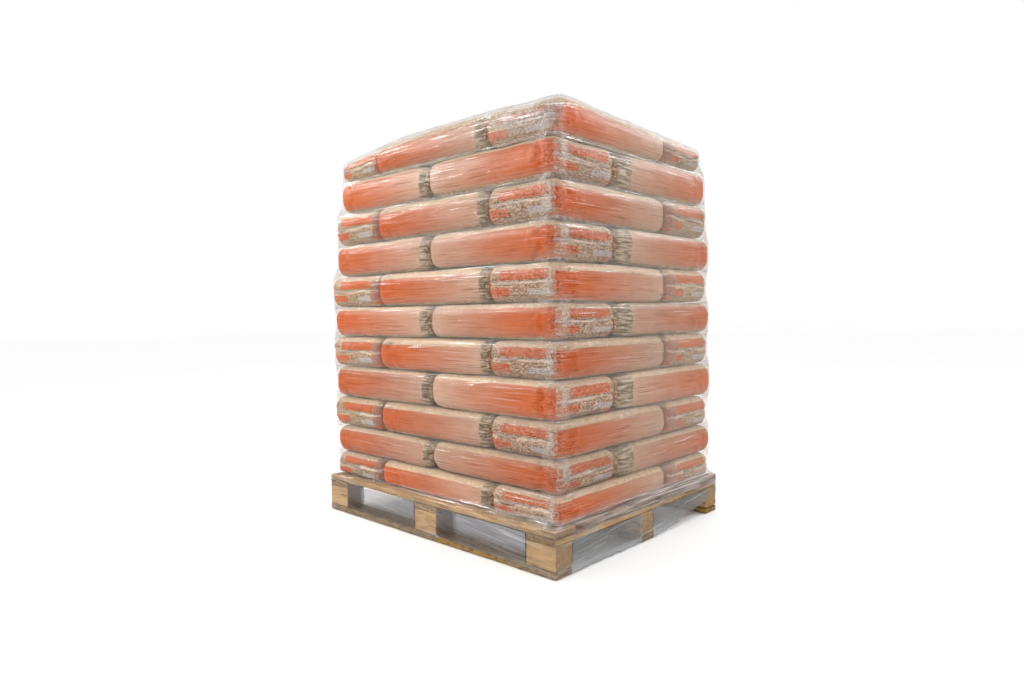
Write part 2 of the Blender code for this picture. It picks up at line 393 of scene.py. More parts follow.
def timber_finish(name, axis, settings):
    """Rough sawn softwood with its grain along one axis and end grain on the faces across it."""
    f = Finish(name)
    place = f.object_place()
    light, dark = settings.light_wood, settings.dark_wood
    middle = [a * 0.62 + b * 0.38 for a, b in zip(light, dark)]
    band_scale, fibre_scale = [70.0, 70.0, 70.0], [330.0, 330.0, 330.0]
    band_scale[axis] *= 0.12
    fibre_scale[axis] *= 0.03
    wobble = f.noise(f.stretched(place, (6, 6, 6)), 1.0, 3.0)[1]
    bent = f.mix(0.06, place, wobble, "ADD")
    bands = f.noise(f.stretched(bent, band_scale), 1.0, 5.0, 0.68)[0]
    fibres = f.noise(f.stretched(place, fibre_scale), 1.0, 2.0, 0.6)[0]
    grain = f.plus(f.times(bands, 0.75), f.times(fibres, 0.25))
    face = f.ramp(grain, ((0.4, dark), (0.48, middle), (0.57, light)))
    knots = f.cells(f.stretched(place, (7, 7, 7)))[0]
    face = f.mix(f.step(knots, 0.09, 0.03), face, colour(KNOT_BROWN))
    face = with_end_grain(f, face, axis, bent, middle, dark)
    face = weathered(f, face, place)
    rough = f.plus(f.times(fibres, 0.25), 0.6)
    bumps = f.bump(fibres, 0.5, 0.0012)
    bumps = f.bump(bands, 0.3, 0.0015, bumps)
    return f.surface(face, rough, 0.25, bumps)


def nail_finish():
    f = Finish("nail steel")
    rust = f.noise(f.object_place(), 300.0, 3.0)[0]
    return f.surface(f.ramp(rust, STEEL_TONES), 0.45, 0.5, metallic=0.8)


# Printed film of the sacks


# Print on a sack: the middle, the half size and the corner radius of each rectangle
SIDE_PANEL = ((-0.4, -0.003), (0.4, 0.049), 0.02)  # from its end towards the foot
TOP_PANEL = ((0.25, 0.0), (0.215, 0.118), 0.02)
END_BAND = ((0.012, 0.03), (0.102, 0.02), 0.01)
END_PATCH = ((-0.09, -0.034), (0.05, 0.018), 0.017)
END_GREY = ((0.08, -0.037), (0.052, 0.014), 0.013)

# How the pellets lie: three sets of rods, as cells to the metre along each axis, and their shift
RODS = (((120, 235, 260), (0, 0, 0)), ((250, 115, 240), (3, 1, 2)), ((240, 250, 125), (1, 5, 4)))
ROD_STEPS = ((0.42, 0.46), (0.54, 0.58))  # where the second and the third set take over

# Painted shade in the gaps between the pellets
GAP_SHADE_BROWN = (0.09, 0.06, 0.03)
# Painted light on the shoulders that face up
SHOULDER_PAINTED_LIGHT = (0.88, 0.62, 0.41)
FILLING_TAN = (0.55, 0.4, 0.26)
GREY_PRINT = (0.42, 0.41, 0.41)
# Print folded round the head's end, in a darker, duller red: painted shade
WRAPPED_RED_IN_SHADE = (0.33, 0.14, 0.1)
# Painted shade and painted highlights of the creased film
CREASE_SHADE = (0.2, 0.022, 0.004)
CREASE_HIGHLIGHT = (0.8, 0.36, 0.18)
RIDGE_HIGHLIGHT = (0.72, 0.69, 0.65)
# Painted shade in the pleats at the foot, and painted light on them
PLEAT_SHADE_TONES = ((0.4, (0.1, 0.078, 0.05)), (0.5, (0.24, 0.19, 0.135)), (0.62, (0.5, 0.42, 0.32)))
# Crumpled film at the corner: painted shade and painted glints
TANGLE_SHADE_AND_GLINT_TONES = (
    (0.36, (0.1, 0.05, 0.03)), (0.45, (0.34, 0.24, 0.16)), (0.53, (0.66, 0.63, 0.6)),
    (0.62, (0.38, 0.3, 0.22)),
)
SACK_TONES = ((0.0, (0.93, 0.92, 0.92)), (1.0, (1.1, 1.07, 1.04)))


class SackFinish(Finish):
    """Printed clear film with wood pellets behind it. The print follows the sack's own lengths."""

    def __init__(self, settings):
        super().__init__("printed sack film")
        self.place = self.object_place()
        self.ink, self.pale, self.pellet = settings.ink, settings.pale_ink, settings.pellet
        self.from_head, self.girth, self.from_foot = self.lengths("print_side")
        self.across, self.up, self.tint = self.lengths("print_end")
        self.panel_end, self.wrap, self.top_limit = self.lengths("print_marks")
        self.outer, self.deep_end, self.crumpled = self.lengths("print_head")
        self.upward = self.facing(2)
        self.outwards = self.times(self.across, self.outer)
        self.at_end = self.step(self.from_head, 0.0012, 0.0004)
        # The print's edges are uneven, and ragged on the head's end
        self.wave = self.times(self.minus(self.noise(self.place, 45.0, 2.0)[0], 0.5), 0.004)
        self.ragged = self.times(self.minus(self.noise(self.place, 48.0, 3.0, 0.6)[0], 0.5), 0.026)
        deep_edge = self.minus(self.deep_end, 0.003)
        self.deep_part = self.step(self.plus(self.from_head, self.wave), self.deep_end, deep_edge)

    def lengths(self, name):
        return self.parts(self.attribute(name)["Vector"])

    def pellets(self):
        """Short rods lying in all directions, and painted shade in the gaps between them."""
        warp = self.mix(0.008, self.place, self.noise(self.place, 90.0, 1.0)[1], "ADD")
        choose = self.noise(self.place, 60.0, 1.0)[0]
        sets = [self.cells(self.stretched(warp, scale, shift)) for scale, shift in RODS]
        gap, tone = sets[0][0], sets[0][1]
        for rods, (low, high) in zip(sets[1:], ROD_STEPS):
            share = self.step(choose, low, high)
            gap, tone = self.mix(share, gap, rods[0]), self.mix(share, tone, rods[1])
        light = [min(1, v * 1.75) for v in self.pellet]
        dark = [v * 0.32 for v in self.pellet]
        shade = self.ramp(tone, ((0.1, dark), (0.5, self.pellet), (0.95, light)))
        gaps = self.step(gap, 0.4, 0.66)
        # Painted shade: the gaps between the pellets are darkened
        filling = self.mix(self.times(gaps, 0.85), shade, colour(GAP_SHADE_BROWN))
        # Painted light: the shoulders that face up are lighter, as if lit from above
        filling = self.mix(self.step(self.upward, 0.15, 0.6, 0.0, 0.55), filling, colour(SHOULDER_PAINTED_LIGHT))
        return filling, gaps

    def pleated(self, filling):
        """The film lies in pleats between the print and the foot, along the sack. Their dark and light tones
        are painted shade in the folds and painted light on them.
        """
        along = self.times(self.from_foot, 16.0)
        place = self.joined(self.times(self.girth, 140.0), along, self.times(self.tint, 40.0))
        pleats = self.noise(place, 1.0, 2.0, 0.45)[0]
        at_foot = self.step(self.minus(self.from_head, self.panel_end), -0.006, 0.008)
        at_foot = self.times(at_foot, self.step(self.from_foot, 0.0, 0.004))
        # Painted shade and light of the pleats
        filling = self.mix(self.times(at_foot, 0.75), filling, self.ramp(pleats, PLEAT_SHADE_TONES))
        return filling, at_foot, pleats

    def panel(self):
        """The print's colour on the long sides, strong at the head and faded towards the foot."""
        cloud = self.times(self.minus(self.noise(self.place, 9.0, 3.0)[0], 0.5), 0.25)
        by_head = self.minus(self.crumpled, self.deep_part)
        paler = self.times(by_head, self.step(self.crumpled, 0.5, 0.9, 0.0, 0.06))
        faded = self.plus(self.math("DIVIDE", self.from_head, self.panel_end), cloud, paler)
        red, green, blue = self.ink
        half_way = [a * 0.6 + b * 0.3 for a, b in zip(self.ink, self.pale)]
        stops = ((0.0, (red, green * 0.9, blue * 0.8)), (0.22, self.ink), (0.57, half_way), (0.97, self.pale))
        deepest = colour((red * 1.02, green * 0.84, blue * 0.05))
        return self.mix(self.times(self.deep_part, 0.9), self.ramp(faded, stops, "B_SPLINE"), deepest)

    def on_side(self):
        """Where the panel is on the long sides."""
        from_edge = self.plus(self.minus(self.from_head, self.panel_end), self.wave)
        side = self.patch(from_edge, self.plus(self.girth, self.wave), *SIDE_PANEL)
        side = self.times(side, self.step(self.girth, self.top_limit, self.minus(self.top_limit, 0.002)))
        side = self.times(side, self.rest_of(self.at_end))
        return self.times(side, self.step(self.size_of(self.across), 0.1, 0.112))

    def on_top(self):
        """Where the panel is on the top."""
        top = self.patch(self.plus(self.from_head, self.wave), self.plus(self.across, self.wave), *TOP_PANEL)
        return self.times(top, self.step(self.girth, 0.053, 0.0545))

    def wrapped_strip(self):
        """Where the film of the head's end is folded round onto the side of a sack."""
        inwards = self.plus(self.times(self.outwards, -1.0), self.ragged, -0.147)
        strip = self.step(inwards, self.minus(-0.002, self.wrap), self.minus(0.002, self.wrap))
        strip = self.times(strip, self.step(self.wrap, 0.001, 0.004))
        strip = self.times(strip, self.step(self.size_of(self.up), 0.053, 0.05))
        return self.times(strip, self.step(self.from_head, 0.05, 0.04))

    def on_end(self, wrapped):
        """Where the head's end has print: the side's reaches round its rim, and a band and a patch."""
        across, up = self.plus(self.across, self.ragged), self.plus(self.up, self.times(self.ragged, 0.5))
        rim = self.step(self.plus(self.outwards, self.ragged), 0.126, 0.13)
        rim = self.times(rim, self.step(self.size_of(self.plus(self.up, 0.002)), 0.046, 0.044))
        band, left_patch = self.patch(across, up, *END_BAND), self.patch(across, up, *END_PATCH)
        printed = self.larger(band, self.larger(left_patch, rim))
        printed = self.times(printed, self.rest_of(wrapped), self.at_end)
        return printed, self.times(self.patch(across, up, *END_GREY), self.at_end)

    def printed(self, filling):
        """The filling with all of the print over it, and where the side and the end have print."""
        red, green, blue = self.ink
        panel, side, wrapped = self.panel(), self.on_side(), self.wrapped_strip()
        printed_end, grey_patch = self.on_end(wrapped)
        shade = self.mix(0.04, filling, colour(FILLING_TAN))
        shade = self.mix(self.times(side, 0.96), shade, panel)
        shade = self.mix(self.times(self.on_top(), 0.95), shade, self.mix(0.25, panel, colour(self.ink)))
        end_ink = colour((red * 1.03, green * 0.92, blue * 0.3))
        shade = self.mix(self.times(printed_end, 0.97), shade, end_ink)
        shade = self.mix(self.times(grey_patch, 0.75), shade, colour(GREY_PRINT))
        # The print folded round the head's end is real; its darker red is painted shade
        shade = self.mix(self.times(wrapped, 0.85), shade, colour(WRAPPED_RED_IN_SHADE))
        return shade, side, printed_end

    def creased(self, shade, printed_end):
        """Creases of crumpled film: painted highlights on their ridges, painted shade beside them, and
        lengthwise by the head.
        """
        ridge_noise = self.noise(self.stretched(self.place, (1, 1, 1.6)), 85.0, 3.0, 0.6, 0.7)[0]
        ridge = self.step(self.size_of(self.minus(ridge_noise, 0.5)), 0.03, 0.0)
        hollow = self.step(self.size_of(self.minus(ridge_noise, 0.57)), 0.04, 0.0)
        along, around = self.times(self.from_head, 45.0), self.times(self.girth, 260.0)
        gathers = self.noise(self.joined(along, around, self.times(self.across, 90.0)), 1.0, 2.0, 0.6, 0.5)[0]
        upright = self.step(self.upward, 0.85, 0.55)
        gathered = self.times(self.deep_part, self.crumpled, upright)
        head = self.times(self.step(self.from_head, 0.06, 0.02), self.crumpled)
        # Painted shade and painted highlights along the gathered film by the head, and painted shade in its
        # hollows
        dark, light = colour(CREASE_SHADE), colour(CREASE_HIGHLIGHT)
        shade = self.mix(self.times(self.step(gathers, 0.47, 0.36), self.times(gathered, 0.75)), shade, dark)
        shade = self.mix(self.times(hollow, self.times(head, upright, 0.75)), shade, dark)
        shade = self.mix(self.times(self.step(gathers, 0.6, 0.72), self.times(gathered, 0.3)), shade, light)
        # Crumpled film by the corner of the head's end: painted shade and painted glints
        by_corner = self.step(self.plus(self.outwards, self.ragged), 0.075, 0.12)
        corner = self.times(self.at_end, self.crumpled, by_corner)
        tangle = self.noise(self.stretched(self.place, (1, 1, 1.3)), 95.0, 3.0, 0.65, 1.2)[0]
        corner = self.times(corner, self.step(printed_end, 1.0, 0.0, 0.3, 0.65))
        shade = self.mix(corner, shade, self.ramp(tangle, TANGLE_SHADE_AND_GLINT_TONES))
        # Painted highlights on the creases' ridges, and the same white along the seam of the head's end
        crease = self.times(ridge, self.plus(self.times(head, 0.4), self.times(self.at_end, 0.12)))
        seam = self.step(self.size_of(self.plus(self.up, self.times(self.wave, 4.0))), 0.006, 0.001)
        crease = self.larger(crease, self.times(seam, self.at_end, 0.4))
        return self.mix(crease, shade, colour(RIDGE_HIGHLIGHT))

    def finished(self):
        filling, gaps = self.pellets()
        filling, at_foot, pleats = self.pleated(filling)
        shade, side, printed_end = self.printed(filling)
        shade = self.creased(shade, printed_end)
        shade = self.mix(1.0, shade, self.ramp(self.tint, SACK_TONES), "MULTIPLY")
        wrinkles = self.noise(self.place, 85.0, 3.0, 0.6, 0.4)[0]
        place = self.joined(self.times(self.from_head, 7.0), self.times(self.girth, 120.0), self.across)
        pulls = self.noise(place, 1.0, 3.0, 0.6)[0]
        by_head = self.step(self.from_head, 0.12, 0.0, 0.15, 1.0)
        strength = self.times(by_head, self.step(self.crumpled, 0.3, 1.0, 0.35, 1.0))
        bumps = self.bump(wrinkles, strength, 0.0035)
        bumps = self.bump(pulls, 0.35, 0.003, bumps)
        bumps = self.bump(gaps, self.minus(0.45, self.times(side, 0.38)), -0.0015, bumps)
        bumps = self.bump(pleats, self.times(at_foot, 0.8), 0.004, bumps)
        return self.surface(shade, self.step(wrinkles, 0.3, 0.7, 0.28, 0.45), 0.1, bumps)


# Stretch film


# Painted highlights along the film's bright lines
LINE_HIGHLIGHT_WHITE = (0.82, 0.8, 0.78)
# Milk over the grooves between layers: painted light and shade of the groove behind the film
PAINTED_LIGHT_TAN = (0.46, 0.385, 0.29)
SLACK_SHADE_AND_LIGHT_TONES = ((0.4, (0.22, 0.18, 0.16)), (0.5, (0.42, 0.37, 0.33)), (0.62, (0.68, 0.64, 0.61)))
FLARE_TONES = ((0.42, (0.3, 0.25, 0.23)), (0.6, (0.56, 0.5, 0.46)))
# Darker film along the dark lines, partly painted shade
DARK_TINT = (0.6, 0.56, 0.54)


def film_finish(settings):
    """Clear stretch film round the load: bright and dark lines along its turns, milky where it is slack."""
    f = Finish("stretch film")
    run = f.node("ShaderNodeUVMap", uv_map="turns").outputs[0]
    upward = f.facing(2)
    loose = f.attribute("loose")["Fac"]
    streak = f.noise(f.stretched(run, (4.5, 175.0, 1.0)), 1.0, 3.0, 0.6)[0]
    fine = f.noise(f.stretched(run, (7.0, 400.0, 1.0)), 1.0, 2.0, 0.5)[0]
    cluster = f.noise(f.stretched(run, (3.0, 8.0, 1.0)), 1.0, 2.0, 0.5)[0]
    folds = f.noise(f.object_place(), 26.0, 4.0, 0.65, 0.8)[0]
    lines = f.times(f.step(streak, 0.56, 0.66), f.step(cluster, 0.4, 0.6, 0.2, 1.0))
    # Painted highlights: the bright lines are stronger on faces that look up
    lines = f.times(lines, f.step(upward, -0.15, 0.25, 0.3, 1.0))
    hair = f.step(fine, 0.55, 0.66)
    # Dark lines darken what shows through the film, and are stronger on faces that look down as painted shade
    dark = f.times(f.step(fine, 0.47, 0.36), f.step(streak, 0.54, 0.44))
    dark = f.times(dark, f.step(upward, 0.2, -0.1, 0.3, 1.0))
    bumps = f.bump(streak, 0.5, 0.003)
    bumps = f.bump(fine, 0.3, 0.0012, bumps)
    bumps = f.bump(folds, f.plus(f.times(loose, 0.4), 0.2), 0.006, bumps)
    mirrored = f.plus(f.times(lines, 0.2), settings.gloss, f.times(hair, 0.015), f.times(loose, 0.035))
    # Milkier on the right side, as painted glare on that face, and most of all where the film flares out over
    # the deck there
    x, y, z = f.parts(f.object_place())
    right = f.step(x, 0.56, 0.59)
    right_side_glare = f.times(right, f.step(y, -0.4, 0.25))
    over_deck = f.times(right, f.step(y, -0.46, -0.36), f.step(z, 0.19, 0.16))
    slack = f.times(loose, f.step(folds, 0.35, 0.65, 0.2, 0.62))
    milky = f.plus(f.times(lines, 0.16), f.times(hair, 0.035), f.times(right_side_glare, 0.16))
    milky = f.plus(milky, f.times(over_deck, f.step(streak, 0.4, 0.62, 0.16, 0.44)))
    milky = f.math("ADD", milky, f.plus(slack, settings.haze), clamp=True)
    tangle = f.plus(f.times(streak, 0.65), f.times(folds, 0.35))
    # Slack film is milky of itself; its milk is coloured as painted light and shade of the groove behind: tan
    # like lit pellets, and darker to lighter where it is slackest
    milk = f.mix(f.step(loose, 0.68, 0.58), f.ramp(tangle, SLACK_SHADE_AND_LIGHT_TONES), colour(PAINTED_LIGHT_TAN))
    milk = f.mix(over_deck, milk, f.ramp(streak, FLARE_TONES))
    # The bright lines mirror a real share of the light, and are also milky white as painted highlights
    milk = f.mix(f.times(lines, 0.8), milk, colour(LINE_HIGHLIGHT_WHITE))
    tint = f.mix(dark, grey(0.985), colour(DARK_TINT))
    return f.clear_film(milky, mirrored, tint, milk, bumps, 0.12, 0.45)


# The film over the fork pockets: the middle and the half size of the opening on the front and on the sides
FRONT_POCKET = ((0.27, 0.0725), (0.21, 0.0495), 0.001)
SIDE_POCKET = ((0.23, 0.04), (0.19, 0.0595), 0.001)
# Milk over the front pockets: painted light above and painted shade below
POCKET_FRONT_LIT, POCKET_FRONT_SHADED = (0.44, 0.45, 0.48), (0.37, 0.335, 0.3)
POCKET_SIDE = (0.37, 0.385, 0.395)
WOOD_UPPER, WOOD_LOWER = (0.42, 0.37, 0.31), (0.27, 0.22, 0.17)
POCKET_FRONT_TINT, POCKET_SIDE_TINT = (0.62, 0.61, 0.61), (0.74, 0.77, 0.8)


class LowFilmFinish(Finish):
    """Gathered stretch film on the pallet's sides: blue-grey over the fork pockets, thinner on the wood."""

    def __init__(self):
        super().__init__("stretch film low")
        self.x, self.y, self.z = self.parts(self.object_place())
        far_x, far_y = self.size_of(self.x), self.size_of(self.y)
        self.on_front = self.step(far_y, 0.49, 0.498)
        over_front = self.times(self.on_front, self.patch(far_x, self.z, *FRONT_POCKET))
        over_side = self.times(self.rest_of(self.on_front), self.patch(far_y, self.z, *SIDE_POCKET))
        self.pocket = self.plus(over_front, over_side)
        self.low = self.step(self.z, 0.03, 0.018)
        self.upper = self.step(self.z, 0.045, 0.08)

    def by_side(self, front, side):
        """One value or colour on the front and the back, and another on the left and the right."""
        return self.mix(self.on_front, side, front)

    def line_place(self):
        """Places along lines that run down to the near corner and up again along the right side."""
        along = self.minus(self.x, self.y)
        fall = self.minus(self.times(self.x, self.on_front), self.times(self.y, self.rest_of(self.on_front)))
        return self.joined(along, self.plus(self.z, self.times(fall, 0.09)), 0.0)

    def over_pocket(self, broad):
        """How milky the film is over a pocket. It is clearer where it comes off a block."""
        milky = self.by_side(self.times(self.upper, 0.2), grey(0.09))
        milky = self.plus(self.step(broad, 0.35, 0.65, 0.14, 0.22), milky)
        by_left = self.times(self.step(self.x, -0.5, -0.48), self.step(self.x, -0.365, -0.4))
        by_centre = self.times(self.step(self.x, 0.05, 0.07), self.step(self.x, 0.175, 0.14))
        clearer = self.times(self.plus(by_left, by_centre), self.on_front)
        return self.times(milky, self.rest_of(self.times(clearer, 0.72)))

    def milk(self, lines, hair):
        """Colour of the milky places. Over the front pockets the film is milky of itself, coloured as painted
        light above, blue-grey like a lit floor behind it, and painted shade below, brown like a shaded board
        behind it.
        """
        front_pocket = self.mix(self.upper, colour(POCKET_FRONT_SHADED), colour(POCKET_FRONT_LIT))
        pocket = self.by_side(front_pocket, colour(POCKET_SIDE))
        wood = self.mix(self.low, colour(WOOD_UPPER), colour(WOOD_LOWER))
        light = self.larger(lines, self.times(hair, 0.4))
        return self.mix(light, self.mix(self.pocket, wood, pocket), grey(0.7))

    def finished(self, settings):
        place = self.line_place()
        streak = self.noise(self.stretched(place, (2.5, 105.0, 1.0)), 1.0, 4.0, 0.6)[0]
        fine = self.noise(self.stretched(place, (5.0, 290.0, 1.0)), 1.0, 2.0, 0.5)[0]
        broad = self.noise(self.stretched(place, (2.0, 22.0, 1.0)), 1.0, 2.0, 0.5)[0]
        folds = self.noise(self.object_place(), 22.0, 4.0, 0.65, 0.8)[0]
        # Bright lines, fewer of them near the floor and over the pockets
        lines = self.times(self.step(streak, 0.54, 0.64), self.step(broad, 0.4, 0.6, 0.2, 1.0))
        lines = self.times(lines, self.rest_of(self.times(self.low, 0.6)))
        bare_part = self.by_side(self.step(self.x, 0.05, -0.05, 0.35, 0.85), grey(0.55))
        kept = self.rest_of(self.times(self.pocket, bare_part))
        lines = self.times(lines, kept)
        hair = self.times(self.step(fine, 0.54, 0.66), kept)
        milky = self.plus(0.05, self.times(lines, 0.26))
        milky = self.plus(milky, self.times(hair, 0.1), self.times(self.low, 0.25))
        milky = self.math("ADD", milky, self.times(self.pocket, self.over_pocket(broad)), clamp=True)
        mirrored = self.plus(self.times(hair, 0.05), self.plus(self.times(lines, 0.12), settings.gloss))
        pocket_tint = self.by_side(colour(POCKET_FRONT_TINT), colour(POCKET_SIDE_TINT))
        tint = self.mix(self.pocket, grey(0.93), pocket_tint)
        bumps = self.bump(streak, 0.5, 0.004)
        bumps = self.bump(folds, 0.4, 0.006, bumps)
        return self.clear_film(milky, mirrored, tint, self.milk(lines, hair), bumps, 0.15, 0.4)


def inner_film_finish():
    """Inner face of the film's wall, which mirrors little."""
    f = Finish("stretch film inside")
    clear = f.node("ShaderNodeBsdfTransparent", {"Color": grey(0.99)}).outputs[0]
    mirror = f.node("ShaderNodeBsdfGlossy", {"Color": grey(1), "Roughness": 0.3}).outputs[0]
    return f.output(f.node("ShaderNodeMixShader", {0: 0.01, 1: clear, 2: mirror}).outputs[0])


# Pallet


def sawn_blank(size, steps):
    """A block of wood in the middle of the frame, cut into cells about as long as steps."""
    bpy.ops.object.select_all(action="DESELECT")
    bpy.ops.mesh.primitive_cube_add(size=1)
    ob = bpy.context.object
    ob.scale = size
    bpy.ops.object.transform_apply(location=False, rotation=False, scale=True)
    bpy.ops.object.mode_set(mode="EDIT")
    for axis in range(3):
        half = size[axis] / 2
        count = max(2, round(size[axis] / steps[axis]))
        cut_through(axis, np.linspace(-half, half, count + 1)[1:-1])
        rim = min(0.004, size[axis] / 8)
        cut_through(axis, (rim - half, half - rim))
    bpy.ops.object.mode_set(mode="OBJECT")
    return ob


def worn_points(points, size, centre, number, settings):
    """A board's points at its place, with worn, chipped edges and a slightly uneven face."""
    inside = np.array(size) / 2 - np.abs(points)
    near = np.sort(inside, axis=1)[:, 1]
    placed = points + centre
    chips = np.clip(noise_at(placed, 0.03, 3.0 + number, 3) * 0.9 + 0.1, 0, 1)
    waves = noise_at(placed, 0.16, 8.0 + number, 2)
    edge = np.exp(-near / 0.0035)
    inward = -np.sign(points) * np.exp(-inside / 0.004)
    depth = 0.0009 + settings.edge_wear * chips * chips
    points = points + inward * (edge * depth)[:, None]
    thin = int(np.argmin(size))
    on_face = inside[:, thin] < 1e-5
    points[:, thin] -= np.sign(points[:, thin]) * (0.0005 + 0.0007 * waves) * on_face
    return points + centre


def make_timber(pairs, finish, tones, steps, settings):
    """Sawn boards or blocks in place of CAD nodes."""
    blanks = {}
    for number, (node, name) in enumerate(pairs):
        low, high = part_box(node)
        size = tuple(round(high[i] - low[i], 5) for i in range(3))
        if size not in blanks:
            blanks[size] = sawn_blank(size, steps)
        ob = copy_of(blanks[size], name)
        centre = np.array((low + high) / 2)
        place_points(ob.data, worn_points(points_of(ob.data), size, centre, number, settings))
        bevel = ob.modifiers.new("arris", "BEVEL")
        bevel.width = 0.0008
        bevel.segments = 1
        bevel.limit_method = "ANGLE"
        bevel.angle_limit = math.radians(50)
        apply_modifiers(ob)
        ob.data.materials.clear()
        ob.data.materials.append(finish)
        tone = tones[number % len(tones)]
        store(ob.data, "tone", "FLOAT", np.full(len(ob.data.vertices), tone))
        bpy.ops.object.shade_smooth_by_angle(angle=math.radians(30))
        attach(ob, "root")
        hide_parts(node)
    for blank in blanks.values():
        drop(blank)


class PALLET_OT_boards(bpy.types.Operator):
    """Sawn deck boards, cross boards and bottom boards of the pallet"""

    bl_idname = "pallet.boards"
    bl_label = "Boards"

    def execute(self, context):
        settings = context.scene.pallet_timber
        steps_x, steps_y = (0.03, 0.014, 0.011), (0.014, 0.03, 0.011)
        along_x = timber_finish("deck wood", 0, settings)
        along_y = timber_finish("cross wood", 1, settings)
        low_x = timber_finish("bottom wood", 0, settings)
        pairs = [(f"deck_board_{i}", f"deck_plank_{i}") for i in range(1, 8)]
        tones = (0.82, 0.6, 0.75, 0.5, 0.7, 0.85, 0.65)
        make_timber(pairs, along_x, tones, steps_x, settings)
        pairs = [(f"cross_board_{i}", f"cross_plank_{i}") for i in range(1, 4)]
        make_timber(pairs, along_y, (0.6, 0.7, 0.5), steps_y, settings)
        pairs = [(f"bottom_board_{i}", f"bottom_plank_{i}") for i in range(1, 4)]
        make_timber(pairs, low_x, (0.45, 0.55, 0.5), steps_x, settings)
        return {"FINISHED"}


class PALLET_OT_blocks(bpy.types.Operator):
    """Nine wooden blocks between the deck and the bottom boards"""

    bl_idname = "pallet.blocks"
    bl_label = "Blocks"

    def execute(self, context):
        settings = context.scene.pallet_timber
        finish = timber_finish("block wood", 0, settings)
        pairs = []
        for row in ("front", "middle", "back"):
            for column in ("left", "centre", "right"):
                pairs.append((f"block_{row}_{column}", f"foot_block_{row}_{column}"))
        tones = (0.85, 0.95, 0.8, 0.6, 0.7, 0.9, 0.65, 0.75, 0.8)
        make_timber(pairs, finish, tones, (0.012, 0.012, 0.012), settings)
        return {"FINISHED"}


def nail_places():
    """Two nails at each crossing of a deck board and a cross board, and at each foot of a bottom board."""
    places = []
    for deck in range(1, 8):
        low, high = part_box(f"deck_board_{deck}")
        y = (low.y + high.y) / 2
        for cross in range(1, 4):
            cross_low, cross_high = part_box(f"cross_board_{cross}")
            x = (cross_low.x + cross_high.x) / 2
            for side in (-1, 1):
                shift = 0.004 * math.sin(deck * 5.1 + cross * 3.3 + side)
                places.append((x + side * 0.024 + shift, y + side * 0.022, high.z - 0.0004))
    for board in range(1, 4):
        low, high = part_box(f"bottom_board_{board}")
        y = (low.y + high.y) / 2
        for x in (-0.54, 0.0, 0.54):
            for side in (-1, 1):
                places.append((x + side * 0.026, y + side * 0.02, low.z + 0.0011))
    return places


class PALLET_OT_nails(bpy.types.Operator):
    """Nail heads in the deck boards and in the bottom boards"""

    bl_idname = "pallet.nails"
    bl_label = "Nails"

    def execute(self, context):
        settings = context.scene.pallet_timber
        bpy.ops.object.select_all(action="DESELECT")
        bpy.ops.mesh.primitive_cylinder_add(vertices=10, radius=settings.nail_size, depth=0.0016)
        nail = bpy.context.object
        bevel = nail.modifiers.new("rim", "BEVEL")
        bevel.width, bevel.segments = 0.0005, 1
        apply_modifiers(nail)
        copies = []
        for number, place in enumerate(nail_places()):
            new = copy_of(nail, f"nail_copy_{number}")
            new.location = place
            copies.append(new)
        drop(nail)
        pick(copies[0])
        for new in copies:
            new.select_set(True)
        bpy.ops.object.join()
        nails = bpy.context.object
        nails.name = "pallet_nails"
        bpy.ops.object.transform_apply(location=True, rotation=True, scale=True)
        nails.data.materials.clear()
        nails.data.materials.append(nail_finish())
        bpy.ops.object.shade_smooth_by_angle(angle=math.radians(35))
        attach(nails, "root")
        return {"FINISHED"}


# Sacks


SACK_SIZE, STANDARD_HEIGHT = (0.58, 0.3, 0.116), 0.119
LOOSE_EDGE = 0.048  # rounding of a sack's edges before its film is simulated
END_FACE = 0.999  # grid places past this lie on the head's or the foot's end

# The film of each simulated sack: its stiffness, its bending, the pressure in it and its spare length
CREASE_PATTERNS = ((15, 0.01, 3, 0.14), (40, 0.01, 2, 0.2), (15, 0.002, 1, 0.14), (25, 0.005, 1.5, 0.17))
CREASE_STEPS = 22
MOST_OUT, MOST_IN = 0.0012, 0.014  # how far a crease may stand out of a sack's outline and reach into it

WAYS = {"left": (-1, 0), "right": (1, 0), "front": (0, -1), "back": (0, 1)}


def even(low, high, count):
    return list(np.linspace(low, high, count + 1))


def sack_grid():
    """A closed box from -1 to 1, head at +X, cut finely at its ends, shoulders and end seam."""
    long_cuts = even(-1, -0.7, 9)[1:] + even(-0.7, 0.55, 17)[1:] + even(0.55, 1, 17)[1:-1]
    wide_cuts = even(-1, -0.6, 7)[1:] + even(-0.6, 0.6, 9)[1:] + even(0.6, 1, 7)[1:-1]
    high_cuts = even(-1, -0.2, 5)[1:] + even(-0.2, 0.2, 5)[1:] + even(0.2, 1, 5)[1:-1]
    bpy.ops.object.select_all(action="DESELECT")
    bpy.ops.mesh.primitive_cube_add(size=2)
    ob = bpy.context.object
    bpy.ops.object.mode_set(mode="EDIT")
    for axis, cuts in enumerate((long_cuts, wide_cuts, high_cuts)):
        cut_through(axis, cuts)
    bpy.ops.object.mode_set(mode="OBJECT")
    return ob


def mirrored_order(grid):
    """For each point of the grid, the one that lies opposite it from left to right."""
    keys = {tuple(k): i for i, k in enumerate(np.round(grid, 4) + 0.0)}
    return np.array([keys[tuple(k)] for k in np.round(grid * (1, -1, 1), 4) + 0.0])


